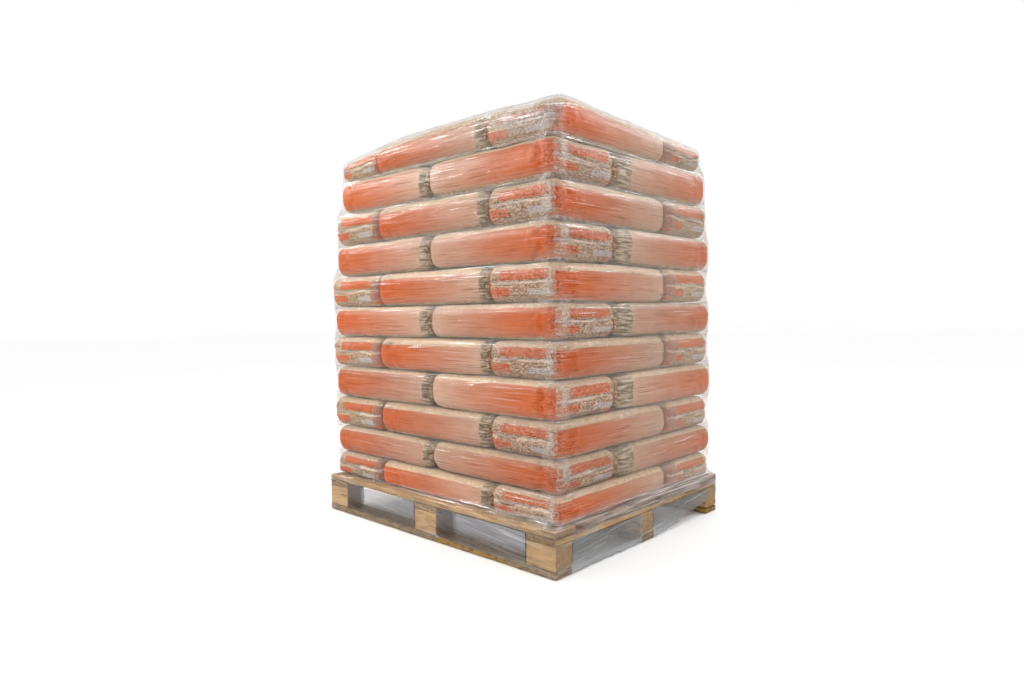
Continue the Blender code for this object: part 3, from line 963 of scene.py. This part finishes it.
def rounded_box(grid, half, flat, up, down):
    """The grid's points on a box with rounded edges, and the direction out of it at each.

    The edges round inwards by flat, over the height up above the middle and down below it."""
    half = np.asarray(half, float)
    points = grid * half
    tall = np.where(grid[:, 2] > 0, up, down)
    radii = np.stack((np.full(len(grid), flat), np.full(len(grid), flat), tall), axis=1)
    core = np.clip(points, -(half - radii), half - radii)
    off = (points - core) / radii
    unit = off / np.maximum(np.linalg.norm(off, axis=1)[:, None], 1e-9)
    out = unit / radii
    return core + unit * radii, out / np.linalg.norm(out, axis=1)[:, None]


def smoothed(points, edges, rounds):
    """Points pulled towards the middle of their neighbours a number of times."""
    count = np.bincount(edges.ravel(), minlength=len(points)).astype(float)
    ends = np.concatenate((edges[:, 0], edges[:, 1]))
    others = np.concatenate((edges[:, 1], edges[:, 0]))
    for _ in range(rounds):
        total = np.stack([np.bincount(ends, points[others, k], len(points)) for k in range(3)], axis=1)
        points = points * 0.4 + total / count[:, None] * 0.6
    return points


def loosen_ends(ob, points, half):
    """A vertex group that gives the film its spare length, most of it at the ends."""
    group = ob.vertex_groups.new(name="slack")
    end = np.clip((np.abs(points[:, 0]) - half[0] + 0.12) / 0.12, 0, 1)
    for index, value in enumerate(np.clip(0.25 + end, 0, 1)):
        group.add([index], float(value), "REPLACE")
    return group.name


def crumpled_film(blank, grid, edges, number):
    """How far each point of the film moves when a slightly loose, filled sack crumples at its ends."""
    stiffness, bending, pressure, spare = CREASE_PATTERNS[number % len(CREASE_PATTERNS)]
    ob = copy_of(blank, f"loose_sack_{number}")
    half = np.array(SACK_SIZE) / 2
    start, out = rounded_box(grid, half, LOOSE_EDGE, LOOSE_EDGE, LOOSE_EDGE)
    start = start + out * (0.0022 * noise_at(start, 0.03, number * 7.3, 2))[:, None]
    place_points(ob.data, start)
    spare_group = loosen_ends(ob, start, half)
    cloth = ob.modifiers.new("film", "CLOTH")
    rules = cloth.settings
    rules.quality = 5
    rules.mass = 0.3
    rules.tension_stiffness = stiffness
    rules.compression_stiffness = stiffness
    rules.shear_stiffness = 5
    rules.bending_stiffness = bending
    rules.tension_damping = 5
    rules.bending_damping = 0.5
    rules.use_pressure = True
    rules.uniform_pressure_force = pressure
    rules.vertex_group_shrink = spare_group
    rules.shrink_min = 0.0
    rules.shrink_max = -spare
    rules.effector_weights.gravity = 0
    cloth.collision_settings.use_collision = False
    cloth.collision_settings.use_self_collision = False
    cloth.point_cache.frame_end = 40
    for step in range(CREASE_STEPS):
        bpy.context.scene.frame_set(step + 1)
    pick(ob)
    bpy.ops.object.modifier_apply(modifier=cloth.name)
    bpy.context.scene.frame_set(1)
    filled = points_of(ob.data)
    drop(ob)
    # Only the creases count, and not the swelling of the whole sack
    moved = filled - smoothed(filled, edges, 22)
    moved -= start - smoothed(start, edges, 22)
    return np.clip(moved, -MOST_IN, MOST_IN)


def layer_span(layer):
    """Where a layer's sacks end: to the left, right, front and back."""
    bulge = BULGE if layer in BULGED_LAYERS else 0.0
    return np.array((-LAYER_LEFT[layer] - bulge, LOAD_RIGHT, -LOAD_FRONT, LAYER_BACK[layer]))


class Slot:
    """The place of one sack in a layer, which way its head points, and the marks of its print.

    bare is the length without print at its foot, and wrap the width of a strip of folded film at the
    inner side of its head's end."""

    def __init__(self, layer, number, x_range, y_range, way, bare, wrap):
        self.layer, self.number, self.way, self.bare, self.wrap = layer, number, way, bare, wrap
        self.seed = layer * 6 + number
        self.height = LAYER_HEIGHTS[layer]
        middle = LAYER_BASES[layer] + self.height / 2
        self.centre = np.array((sum(x_range) / 2, sum(y_range) / 2, middle))
        self.forward = np.array((*WAYS[way], 0.0))
        self.left = np.array((-self.forward[1], self.forward[0], 0.0))
        spans = np.array((x_range[1] - x_range[0], y_range[1] - y_range[0]))
        self.length = float(spans @ np.abs(self.forward[:2]))
        self.width = float(spans @ np.abs(self.left[:2]))
        self.at_near_corner = x_range[1] == LOAD_RIGHT and y_range[0] == -LOAD_FRONT


def layer_slots(layer):
    """The six slots of a layer, in the pattern of an even or an odd layer."""
    left, right, front, back = layer_span(layer)
    middle_x, middle_y = (-JOINT_X, JOINT_X), (-JOINT_Y, JOINT_Y)
    if layer % 2:
        rows = [
            ((left, 0.0), (front, -JOINT_Y), "left", 0.042, 0.0),
            ((0.0, right), (front, -JOINT_Y), "right", 0.012, 0.0),
        ]
        joints = (left, -JOINT_X, 0.0, JOINT_X, right)
        rows += [(x_range, (-JOINT_Y, back), "back", 0.092, 0.0) for x_range in zip(joints, joints[1:])]
    else:
        rows = [
            ((left, -JOINT_X), (front, JOINT_Y), "front", 0.034, 0.034),
            (middle_x, (front, -JOINT_Y), "left", 0.038, 0.0),
            (middle_x, middle_y, "right", 0.05, 0.0),
            ((JOINT_X, right), (front, JOINT_Y), "front", 0.034, 0.0),
            ((left, 0.0), (JOINT_Y, back), "left", 0.05, 0.05),
            ((0.0, right), (JOINT_Y, back), "right", 0.05, 0.055),
        ]
    return [Slot(layer, number, *row) for number, row in enumerate(rows)]


def beyond(distance, blend=0.06):
    """0 before a line and the distance past it behind it, with a soft bend between."""
    return 0.5 * (distance + np.sqrt(distance ** 2 + blend ** 2))


def settle(points):
    """Lowers the highest layer's top towards its left and back, and its near corner's front end."""
    x, y, z = points[:, 0], points[:, 1], points[:, 2]
    share = np.clip((z - LOAD_TOP) / LAYER_HEIGHTS[-1] + 1, 0, 1)
    lowered = TOP_LEFT_SLOPE * beyond(TOP_LEFT_LINE - x) + TOP_BACK_SLOPE * beyond(y - TOP_BACK_LINE)
    lowered += smooth_step(0.33, 0.5, x) * smooth_step(-0.4, -0.47, y) * 0.014
    crown = smooth_step(0.3, 0.56, x) * (0.003 + 0.004 * np.exp(-(((y + 0.35) / 0.09) ** 2)))
    points[:, 2] = z - share * (lowered - crown)
    return points


def shoulder_heights(height, edge_up, lowest):
    """How far a sack's rounding reaches up and down: the lowest sacks lie flat on the deck."""
    reach = min(edge_up, height / 2 * 0.86)
    return reach, 0.018 if lowest else reach


def sack_shape(grid, half, flat, up, down, seed):
    """Outline of one filled sack, head at +X, and the direction out of it."""
    points, out = rounded_box(grid, half, flat, up, down)
    # It narrows a little towards its foot, and its head is a little lower
    foot = smooth_step(0.085, 0.0, points[:, 0] + half[0])
    points[:, 1] *= 1 - foot * 0.03
    points[:, 2] *= 1 - foot * 0.07
    head = smooth_step(0.05, 0.0, half[0] - points[:, 0])
    points[:, 2] *= 1 - head * 0.05
    # The welded seam pulls in the middle of each end, under a small lip
    at_end = np.abs(grid[:, 0]) > END_FACE
    seam_height = 0.006 * np.sin(points[:, 1] * 24 + seed * 2.1) + 0.004 * np.sin(points[:, 1] * 63 + seed)
    from_seam = points[:, 2] - seam_height
    groove = np.exp(-((from_seam / 0.006) ** 2)) * at_end
    lip = np.exp(-(((from_seam - 0.012) / 0.006) ** 2)) * at_end
    points[:, 0] -= np.sign(grid[:, 0]) * (0.008 * groove - 0.002 * lip)
    # Soft hollows all over
    wide = noise_at(points * (0.4, 1, 1), 0.09, seed * 1.7, 2)
    points -= out * (0.0035 * np.clip(wide + 0.25, 0, 1))[:, None]
    return points, out


def creases(grid, out, length, slot, pattern):
    """A simulated pattern's moves on one sack: loose at the head, gathered at the foot, tight between."""
    if slot.seed % 2:
        # A mirrored pattern: the grid is the same from left to right
        pattern = pattern[mirrored_order(grid)] * (1, -1, 1)
    from_head = (1 - grid[:, 0]) * length / 2
    head_share = 0.9 if slot.at_near_corner else 0.4
    loose = 0.1 + head_share * smooth_step(0.13, 0.05, from_head)
    loose += 0.35 * smooth_step(0.07, 0.0, length - from_head)
    middle_of_end = (np.abs(grid[:, 0]) > END_FACE) * smooth_step(0.75, 0.4, np.abs(grid[:, 1]))
    flat = smooth_step(0.75, 0.98, np.abs(out[:, 2]))
    move = pattern * (loose * (1 - 0.75 * flat) * (1 - 0.5 * middle_of_end))[:, None]
    outward = np.sum(move * out, axis=1)
    move -= out * np.clip(outward - MOST_OUT, 0, None)[:, None]
    move -= out * np.clip(outward + MOST_IN, None, 0)[:, None]
    return move


def store_print(mesh, grid, half, girth, slot):
    """Writes the lengths along, round and across a sack that its print follows, and the print's marks."""
    rng = np.random.default_rng(900 + slot.seed)
    slide, tint = rng.uniform(-0.003, 0.003), rng.uniform(0, 1)
    panel_end = slot.length - slot.bare + rng.uniform(-0.006, 0.006)
    count = len(grid)
    from_head = (1 - grid[:, 0]) * half[0]
    sides = np.stack((from_head, girth + slide, 2 * half[0] - from_head), 1)
    store(mesh, "print_side", "FLOAT_VECTOR", sides)
    ends = np.stack((grid[:, 1] * half[1], grid[:, 2] * half[2], np.full(count, tint)), 1)
    store(mesh, "print_end", "FLOAT_VECTOR", ends)
    top_limit = 0.046 if slot.layer % 2 else 0.037
    store(mesh, "print_marks", "FLOAT_VECTOR", np.tile((panel_end, slot.wrap, top_limit), (count, 1)))
    # outer says on which side of the head's end the load ends, deep_end how far its deep print reaches
    beside = float(slot.centre[:2] @ slot.left[:2])
    outer = math.copysign(1.0, beside) if abs(beside) > 0.25 else 0.0
    deep_end, crumpled = 0.0, 0.3
    if slot.at_near_corner:
        deep_end, crumpled = (0.098 if slot.way == "front" else 0.08), 1.0
    store(mesh, "print_head", "FLOAT_VECTOR", np.tile((outer, deep_end, crumpled), (count, 1)))


def finished_sack(blank, grid, patterns, slot, settings, finish):
    """One sack in its slot, with its creases, its print and its finish."""
    half = np.array((slot.length, slot.width, slot.height)) / 2 - settings.gap
    up, down = shoulder_heights(slot.height, settings.edge_up, slot.layer == 0)
    local, out = sack_shape(grid, half, settings.edge_out, up, down, slot.seed)
    if patterns:
        pattern = patterns[(slot.seed * 5 + slot.layer) % len(patterns)] * settings.crumple
        local += creases(grid, out, 2 * half[0], slot, pattern)
    local = np.clip(local, -half, half)
    world = slot.centre + local[:, :1] * slot.forward + local[:, 1:2] * slot.left
    world[:, 2] += local[:, 2]
    ob = copy_of(blank, f"sack_{slot.layer + 1:02d}_{slot.number + 1}")
    place_points(ob.data, settle(world))
    # The print follows heights as on a standard sack
    plain = rounded_box(grid, half, settings.edge_out, up, down)[0]
    store_print(ob.data, grid, half, plain[:, 2] / slot.height * STANDARD_HEIGHT, slot)
    ob.data.materials.clear()
    ob.data.materials.append(finish)
    pick(ob)
    bpy.ops.object.shade_smooth()
    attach(ob, "root")
    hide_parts(f"sack_layer_{slot.layer + 1:02d}")


class PALLET_OT_sacks(bpy.types.Operator):
    """Filled, printed film sacks in eleven bonded layers"""

    bl_idname = "pallet.sacks"
    bl_label = "Sacks"

    def execute(self, context):
        settings = context.scene.pallet_sacks
        blank = sack_grid()
        grid = points_of(blank.data)
        edges = np.empty(len(blank.data.edges) * 2, np.int32)
        blank.data.edges.foreach_get("vertices", edges)
        edges = edges.reshape(-1, 2)
        patterns = []
        patterns = [crumpled_film(blank, grid, edges, number) for number in range(settings.patterns)]
        finish = SackFinish(settings).finished()
        for layer in range(len(LAYER_HEIGHTS)):
            for slot in layer_slots(layer):
                finished_sack(blank, grid, patterns, slot, settings, finish)
        drop(blank)
        return {"FINISHED"}


# Film


# Steps of one turn of film round a corner, along a short side and along a long side
STEPS_AT_CORNER, STEPS_SHORT_SIDE, STEPS_LONG_SIDE = 12, 46, 58
TURN_HEIGHT = 0.0092  # from one modelled turn round the sacks to the next
EDGE_RADIUS = 0.006  # of the film round the pallet's corners


def ring_columns():
    """Places round a rectangle: each in half sides from its middle, its way out, and 1 at a corner."""
    corners = ((1, -1), (1, 1), (-1, 1), (-1, -1))
    columns = []
    for number, (x, y) in enumerate(corners):
        start = 90 * (number - 1)
        for step in range(STEPS_AT_CORNER + 1):
            angle = math.radians(start + 90 * step / STEPS_AT_CORNER)
            columns.append((x, y, math.cos(angle), math.sin(angle), 1.0))
        next_x, next_y = corners[(number + 1) % 4]
        facing = math.radians(start + 90)
        count = STEPS_LONG_SIDE if number % 2 else STEPS_SHORT_SIDE
        for step in range(1, count):
            share = step / count
            place = (x + (next_x - x) * share, y + (next_y - y) * share)
            columns.append((*place, math.cos(facing), math.sin(facing), 0.0))
    return np.array(columns)


def outwards(columns):
    """The level direction out of the load at each place of a turn."""
    return np.stack((columns[:, 2], columns[:, 3], np.zeros(len(columns))), 1)


def corner_share(columns):
    """1 at the four rounded corners of a turn, falling to 0 within a few places along each side."""
    count = len(columns)
    places = np.arange(count)
    near = np.zeros(count)
    for index in np.nonzero(columns[:, 4])[0]:
        away = np.abs(places - index)
        near = np.maximum(near, np.exp(-np.minimum(away, count - away) / 2.5))
    return near


def ring_points(columns, span, radius, z):
    """Points of one turn of film round a rectangle with rounded corners."""
    left, right, front, back = span
    core_x, core_y = (right - left) / 2 - radius, (back - front) / 2 - radius
    x = (left + right) / 2 + columns[:, 0] * core_x + columns[:, 2] * radius
    y = (front + back) / 2 + columns[:, 1] * core_y + columns[:, 3] * radius
    return np.stack((x, y, np.full(len(columns), z)), axis=1)


def grown(span, reach):
    """A rectangle's four sides moved outwards."""
    return span + np.array((-1, 1, -1, 1)) * reach


def pallet_span(reach):
    """The pallet's four sides moved outwards."""
    return grown(np.array((-PALLET_X, PALLET_X, -PALLET_Y, PALLET_Y)), reach)


def tube_of_film(name, rings, loose):
    """A closed tube whose turns follow the rings, from a grid that is wrapped round and welded.

    loose says how slack the film is at each point of each ring."""
    rows, columns = len(rings), len(rings[0])
    bpy.ops.object.select_all(action="DESELECT")
    bpy.ops.mesh.primitive_grid_add(x_subdivisions=columns, y_subdivisions=rows - 1, size=2)
    ob = bpy.context.object
    ob.name = ob.data.name = name
    grid = points_of(ob.data)
    column = np.round((grid[:, 0] + 1) / 2 * columns).astype(int)
    row = np.round((grid[:, 1] + 1) / 2 * (rows - 1)).astype(int)
    shape = np.stack(rings)
    place_points(ob.data, shape[row, column % columns])
    while ob.data.uv_layers:
        ob.data.uv_layers.remove(ob.data.uv_layers[0])
    store(ob.data, "loose", "FLOAT", loose[row, column % columns])
    # Lengths round the load and up it, for the film's streaks
    middle = shape[rows // 2]
    run = np.concatenate(((0,), np.cumsum(np.linalg.norm(np.roll(middle, -1, axis=0) - middle, axis=1))))
    climb = np.linalg.norm(np.diff(shape[:, columns // 8], axis=0), axis=1)
    rise = np.concatenate(((0,), np.cumsum(climb)))
    corner = np.empty(len(ob.data.loops), np.int32)
    ob.data.loops.foreach_get("vertex_index", corner)
    turns = np.stack((run[column[corner]], rise[row[corner]]), 1)
    layer = ob.data.uv_layers.new(name="turns")
    layer.data.foreach_set("uv", turns.astype(np.float32).ravel())
    pick(ob)
    bpy.ops.object.mode_set(mode="EDIT")
    bpy.ops.mesh.select_all(action="SELECT")
    bpy.ops.mesh.remove_doubles(threshold=0.00005)
    bpy.ops.mesh.dissolve_degenerate(threshold=0.00002)
    bpy.ops.mesh.select_all(action="SELECT")
    bpy.ops.mesh.normals_make_consistent(inside=False)
    bpy.ops.object.mode_set(mode="OBJECT")
    return ob


def give_wall(ob, thickness, outer, inner):
    """A thin wall, its inner face in a clearer film."""
    ob.data.materials.clear()
    ob.data.materials.append(outer)
    ob.data.materials.append(inner)
    wall = ob.modifiers.new("wall", "SOLIDIFY")
    wall.thickness = thickness
    wall.offset = -1
    wall.material_offset = 1
    wall.material_offset_rim = 0
    apply_modifiers(ob)
    bpy.ops.object.shade_smooth()


def sack_depth(z, low, height, sacks, lowest):
    """How far a sack's rounded side lies inside its widest line, at height z in its layer."""
    up, down = shoulder_heights(height, sacks.edge_up, lowest)
    off = z - low - height / 2
    reach = up if off > 0 else down
    over = min(max((abs(off) - (height / 2 - reach)) / reach, 0.0), 1.0)
    return sacks.edge_out * (1 - math.sqrt(1 - over * over))


def near_corner_tent(points):
    """How slack the film is over the near corner of the highest layer, whose front end is rounder."""
    x, y, z = points[..., 0], points[..., 1], points[..., 2]
    at_corner = smooth_step(0.3, 0.44, x) * smooth_step(-0.42, -0.46, y)
    return at_corner * smooth_step(LOAD_TOP - 0.12, LOAD_TOP - 0.06, z)


def turns_on_deck(columns, film):
    """The turns on the deck's edge and from there out to the lowest sacks, each with its slack."""
    edge = pallet_span(UPPER_FILM_OUT)
    turns = [(ring_points(columns, edge, EDGE_RADIUS, z), np.zeros(len(columns))) for z in EDGE_TURNS]
    low_span = grown(layer_span(0), film.clearance)
    for share in (0.0, 0.12, 0.3, 0.5, 0.72):
        span = grown(edge, -0.0007) * (1 - share) + low_span * share
        z = DECK_TOP + 0.0016 + 0.026 * share ** 1.3
        ring = ring_points(columns, span, 0.008 + 0.027 * share, z)
        x, y = ring[:, 0], ring[:, 1]
        tangled = smooth_step(0.1, 0.45, x) * smooth_step(-0.44, -0.48, y)
        by_corner = smooth_step(0.5, 0.57, x) * smooth_step(-0.36, -0.46, y)
        turns.append((ring, 0.12 + 0.35 * tangled + 0.5 * by_corner))
    return turns


def turns_round_sacks(columns, film, sacks):
    """The turns round the layers, each with its slack: they sink in between the sacks, corners less."""
    out, at_corner = outwards(columns), corner_share(columns)
    last = len(LAYER_HEIGHTS) - 1
    turns = []
    for z in np.arange(DECK_TOP + 0.03, LOAD_TOP - sacks.edge_up, TURN_HEIGHT):
        layer = max(i for i, base in enumerate(LAYER_BASES) if base <= z)
        base, height = LAYER_BASES[layer], LAYER_HEIGHTS[layer]
        place = (z - base) / height
        depth = sack_depth(z, base, height, sacks, layer == 0)
        depth = film.dip * (1 - math.exp(-depth / film.dip))
        own = layer_span(layer)
        other = layer_span(min(layer + 1, last) if place > 0.5 else max(layer - 1, 0))
        wider = np.where(np.abs(other) > np.abs(own), other, own)
        span = own + (wider - own) * abs(2 * place - 1) ** 2.5
        reach = film.clearance - depth
        ring = ring_points(columns, grown(span, reach), sacks.edge_out + reach, z)
        ring += out * (at_corner * depth * 0.6)[:, None]
        turns.append((ring, (0.52 + 0.48 * at_corner) * depth / film.dip))
    return turns


def turns_over_top(columns, film, sacks):
    """The turns over the highest layer's edge and on to the middle of the top, each with its slack."""
    top = grown(layer_span(len(LAYER_HEIGHTS) - 1), film.clearance)
    rings = []
    for angle in np.radians((20, 38, 55, 70, 82, 90)):
        inset = sacks.edge_out * (1 - math.cos(angle))
        z = LOAD_TOP + FILM_OVER_TOP - sacks.edge_up * (1 - math.sin(angle))
        rings.append(ring_points(columns, grown(top, -inset), 0.034 - inset * 0.5, z))
    reach = (top[3] - top[2]) / 2 - 0.001
    for share in np.linspace(0.13, 1.0, 14):
        span = grown(top, -reach * share)
        rings.append(ring_points(columns, span, 0.016 * (1 - share), LOAD_TOP + FILM_OVER_TOP))
    return [(ring, np.full(len(columns), 0.45)) for ring in rings]


def uneven_turn(ring, out):
    """A turn with soft waves on the load, and with gathered folds where it leaves the deck's edge."""
    wave = noise_at(ring * (1, 1, 2.4), 0.11, 5.0, 3)
    fine = noise_at(ring * (1, 1, 5), 0.035, 9.0, 2)
    push = 0.0012 * np.clip(wave + 0.3, 0, 1.2) + 0.0005 * np.clip(fine, -0.3, 1)
    on_top = smooth_step(LOAD_TOP - 0.03, LOAD_TOP, ring[:, 2])
    at_deck = smooth_step(0.19, 0.15, ring[:, 2]) * smooth_step(0.12, 0.142, ring[:, 2])
    ring = ring + out * (push * (1 - on_top))[:, None]
    calm = smooth_step(0.55, 0.58, ring[:, 0]) * smooth_step(-0.46, -0.38, ring[:, 1])
    folded = at_deck * (1 - 0.85 * calm) * np.clip(fine + wave + 0.4, 0, 1.5)
    ring[:, 2] += push * on_top * 2.2 + folded * 0.0035
    return settle(ring)


class PALLET_OT_film_wrap(bpy.types.Operator):
    """Stretch film round and over the sacks, down onto the edge of the deck"""

    bl_idname = "pallet.film_wrap"
    bl_label = "Film round the load"

    def execute(self, context):
        film = context.scene.pallet_film
        sacks = context.scene.pallet_sacks
        columns = ring_columns()
        out = outwards(columns)
        turns = turns_on_deck(columns, film)
        turns += turns_round_sacks(columns, film, sacks)
        turns += turns_over_top(columns, film, sacks)
        rings = [uneven_turn(ring, out) for ring, slack in turns]
        slack = np.stack([slack for ring, slack in turns])
        loose = np.clip(slack + near_corner_tent(np.stack(rings)), 0, 1)
        ob = tube_of_film("film_wrap", rings, loose)
        give_wall(ob, film.thickness, film_finish(film), inner_film_finish())
        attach(ob, "root")
        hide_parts("stretch_wrap")
        return {"FINISHED"}


def hem_heights(x, y, front, right, back):
    """Height of the film's lower edge at each place round the pallet."""
    hem = np.interp(y, *zip(*HEM_LEFT))
    hem = np.where(right, np.interp(y, *zip(*HEM_RIGHT)), hem)
    hem = np.where(front, np.interp(x, *zip(*HEM_FRONT)), hem)
    return np.where(back, np.interp(x, *zip(*HEM_BACK)), hem)


def over_pockets(x, y, across):
    """1 where the film spans a fork pocket. across is true on the pallet's front and back."""
    pocket = np.zeros(len(x))
    for low, high in ((-0.46, -0.08), (0.08, 0.46)):
        here = smooth_step(low, low + 0.1, x) * smooth_step(high, high - 0.1, x)
        pocket = np.maximum(pocket, here * across)
    for low, high in ((-0.4, -0.06), (0.06, 0.4)):
        here = smooth_step(low, low + 0.1, y) * smooth_step(high, high - 0.1, y)
        pocket = np.maximum(pocket, here * ~across)
    return pocket


class PALLET_OT_film_skirt(bpy.types.Operator):
    """Lower turns of the film on the sides of the pallet, down to their uneven edge"""

    bl_idname = "pallet.film_skirt"
    bl_label = "Film on the pallet"

    def execute(self, context):
        film = context.scene.pallet_film
        columns = ring_columns()
        out = outwards(columns)
        flat = ring_points(columns, pallet_span(LOWER_FILM_OUT), EDGE_RADIUS, 0.0)
        x, y = flat[:, 0], flat[:, 1]
        front, back = y < 0.0035 - PALLET_Y, y > PALLET_Y - 0.0035
        right = (x > PALLET_X - 0.0035) & ~front & ~back
        hem = hem_heights(x, y, front, right, back)
        ragged = noise_at(flat, 0.035, 2.0, 3)
        hem = np.clip(hem + 0.0035 * ragged * (hem > 0.004), 0.0012, 0.125)
        pocket = over_pockets(x, y, front | back)
        rings = []
        for share in np.linspace(0, 1, 19):
            ring = flat.copy()
            ring[:, 2] = hem + (SKIRT_TOP - hem) * share
            folds = noise_at(ring * (0.7, 0.7, 7), 0.06, 4.0, 3)
            crush = noise_at(ring, 0.018, 6.0, 2) * math.exp(-share / 0.08)
            push = pocket * (0.0035 * folds - 0.002) + 0.0012 * np.clip(folds, 0, 1) + 0.0022 * np.abs(crush)
            ring += out * push[:, None]
            rings.append(ring)
        ob = tube_of_film("film_skirt", rings, np.zeros((len(rings), len(columns))))
        give_wall(ob, film.thickness, LowFilmFinish().finished(film), inner_film_finish())
        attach(ob, "root")
        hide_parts("wrap_skirt_front", "wrap_skirt_right", "wrap_skirt_back", "wrap_skirt_left")
        return {"FINISHED"}


# Stage


# The camera's place, and its yaw, pitch and roll in degrees
CAMERA_PLACE, CAMERA_TURN = (1.912, -2.071, 0.793), (133.255, -2.273, -0.726)


def camera_turn(yaw, pitch, roll):
    """Rotation of a camera that looks along yaw and pitch, rolled about its line of sight."""
    yaw, pitch, roll = (math.radians(v) for v in (yaw, pitch, roll))
    ahead = Vector((math.cos(yaw) * math.cos(pitch), math.sin(yaw) * math.cos(pitch), math.sin(pitch)))
    right = Vector((math.sin(yaw), -math.cos(yaw), 0))
    up = right.cross(ahead)
    turned_right = math.cos(roll) * right + math.sin(roll) * up
    turned_up = -math.sin(roll) * right + math.cos(roll) * up
    return Matrix((turned_right, turned_up, -ahead)).transposed().to_euler()


def soft_light(name, place, target, size, power, tone=(1, 1, 1)):
    bpy.ops.object.select_all(action="DESELECT")
    bpy.ops.object.light_add(type="AREA", location=place)
    lamp = bpy.context.object
    lamp.name = name
    lamp.data.shape = "RECTANGLE"
    lamp.data.size, lamp.data.size_y = size
    lamp.data.energy = power
    lamp.data.color = tone
    lamp.rotation_euler = (Vector(target) - Vector(place)).to_track_quat("-Z", "Y").to_euler()


class PALLET_OT_studio(bpy.types.Operator):
    """Pale floor, soft lights and the camera"""

    bl_idname = "pallet.studio"
    bl_label = "Studio"

    def execute(self, context):
        settings = context.scene.pallet_studio
        bpy.ops.object.select_all(action="DESELECT")
        bpy.ops.mesh.primitive_plane_add(size=60, location=(0, 0, -0.0006))
        floor = context.object
        floor.name = "studio_floor"
        f = Finish("pale floor")
        soft = f.noise(f.object_place(), 3.0)[0]
        shade = settings.floor_colour
        tone = f.ramp(soft, ((0.3, [v * 0.995 for v in shade]), (0.7, shade)))
        floor.data.materials.append(f.surface(tone, 0.8, 0.2))
        world = bpy.data.worlds.new("studio")
        context.scene.world = world
        world.use_nodes = True
        sky = world.node_tree.nodes["Background"]
        sky.inputs["Color"].default_value = (1, 1, 1, 1)
        sky.inputs["Strength"].default_value = settings.sky
        soft_light("key", (-3.0, -2.6, 2.7), (0, 0, 0.8), (2.2, 0.9), settings.key * 1.6, (1, 0.98, 0.95))
        soft_light("side", (1.9, 3.3, 2.9), (0, 0, 0.8), (2.2, 0.9), settings.key, (0.95, 0.97, 1))
        soft_light("top", (1.2, -1.2, 4.2), (0, 0, 0), (3, 3), settings.key * 0.6)
        bpy.ops.object.select_all(action="DESELECT")
        bpy.ops.object.camera_add(location=CAMERA_PLACE, rotation=camera_turn(*CAMERA_TURN))
        camera = context.object
        camera.data.lens = settings.lens
        camera.data.sensor_width = 36
        camera.data.clip_end = 100
        context.scene.camera = camera
        context.scene.view_settings.view_transform = "Standard"
        return {"FINISHED"}


class PALLET_PT_panel(bpy.types.Panel):
    """Sizes and colours of the pallet of sacks, with a button for each group of pieces"""

    bl_label = "Pallet of sacks"
    bl_idname = "PALLET_PT_panel"
    bl_space_type = "VIEW_3D"
    bl_region_type = "UI"
    bl_category = "Pallet"

    def draw(self, context):
        scene = context.scene
        for group in (scene.pallet_sacks, scene.pallet_film, scene.pallet_timber, scene.pallet_studio):
            box = self.layout.box()
            for name in group.bl_rna.properties.keys():
                if name not in ("rna_type", "name"):
                    box.prop(group, name)
        for operator in STEPS:
            self.layout.operator(operator.bl_idname)


GROUPS = (
    ("pallet_sacks", SackSettings),
    ("pallet_film", FilmSettings),
    ("pallet_timber", TimberSettings),
    ("pallet_studio", StudioSettings),
)
STEPS = (
    PALLET_OT_studio,
    PALLET_OT_boards,
    PALLET_OT_blocks,
    PALLET_OT_nails,
    PALLET_OT_sacks,
    PALLET_OT_film_wrap,
    PALLET_OT_film_skirt,
)


def register():
    for name, group in GROUPS:
        bpy.utils.register_class(group)
        setattr(bpy.types.Scene, name, PointerProperty(type=group))
    for operator in STEPS:
        bpy.utils.register_class(operator)
    bpy.utils.register_class(PALLET_PT_panel)


def unregister():
    bpy.utils.unregister_class(PALLET_PT_panel)
    for operator in reversed(STEPS):
        bpy.utils.unregister_class(operator)
    for name, group in reversed(GROUPS):
        delattr(bpy.types.Scene, name)
        bpy.utils.unregister_class(group)


def main():
    register()
    bpy.ops.pallet.studio()
    bpy.ops.pallet.boards()
    bpy.ops.pallet.blocks()
    bpy.ops.pallet.nails()
    bpy.ops.pallet.sacks()
    bpy.ops.pallet.film_wrap()
    bpy.ops.pallet.film_skirt()


if __name__ == "__main__":
    main()
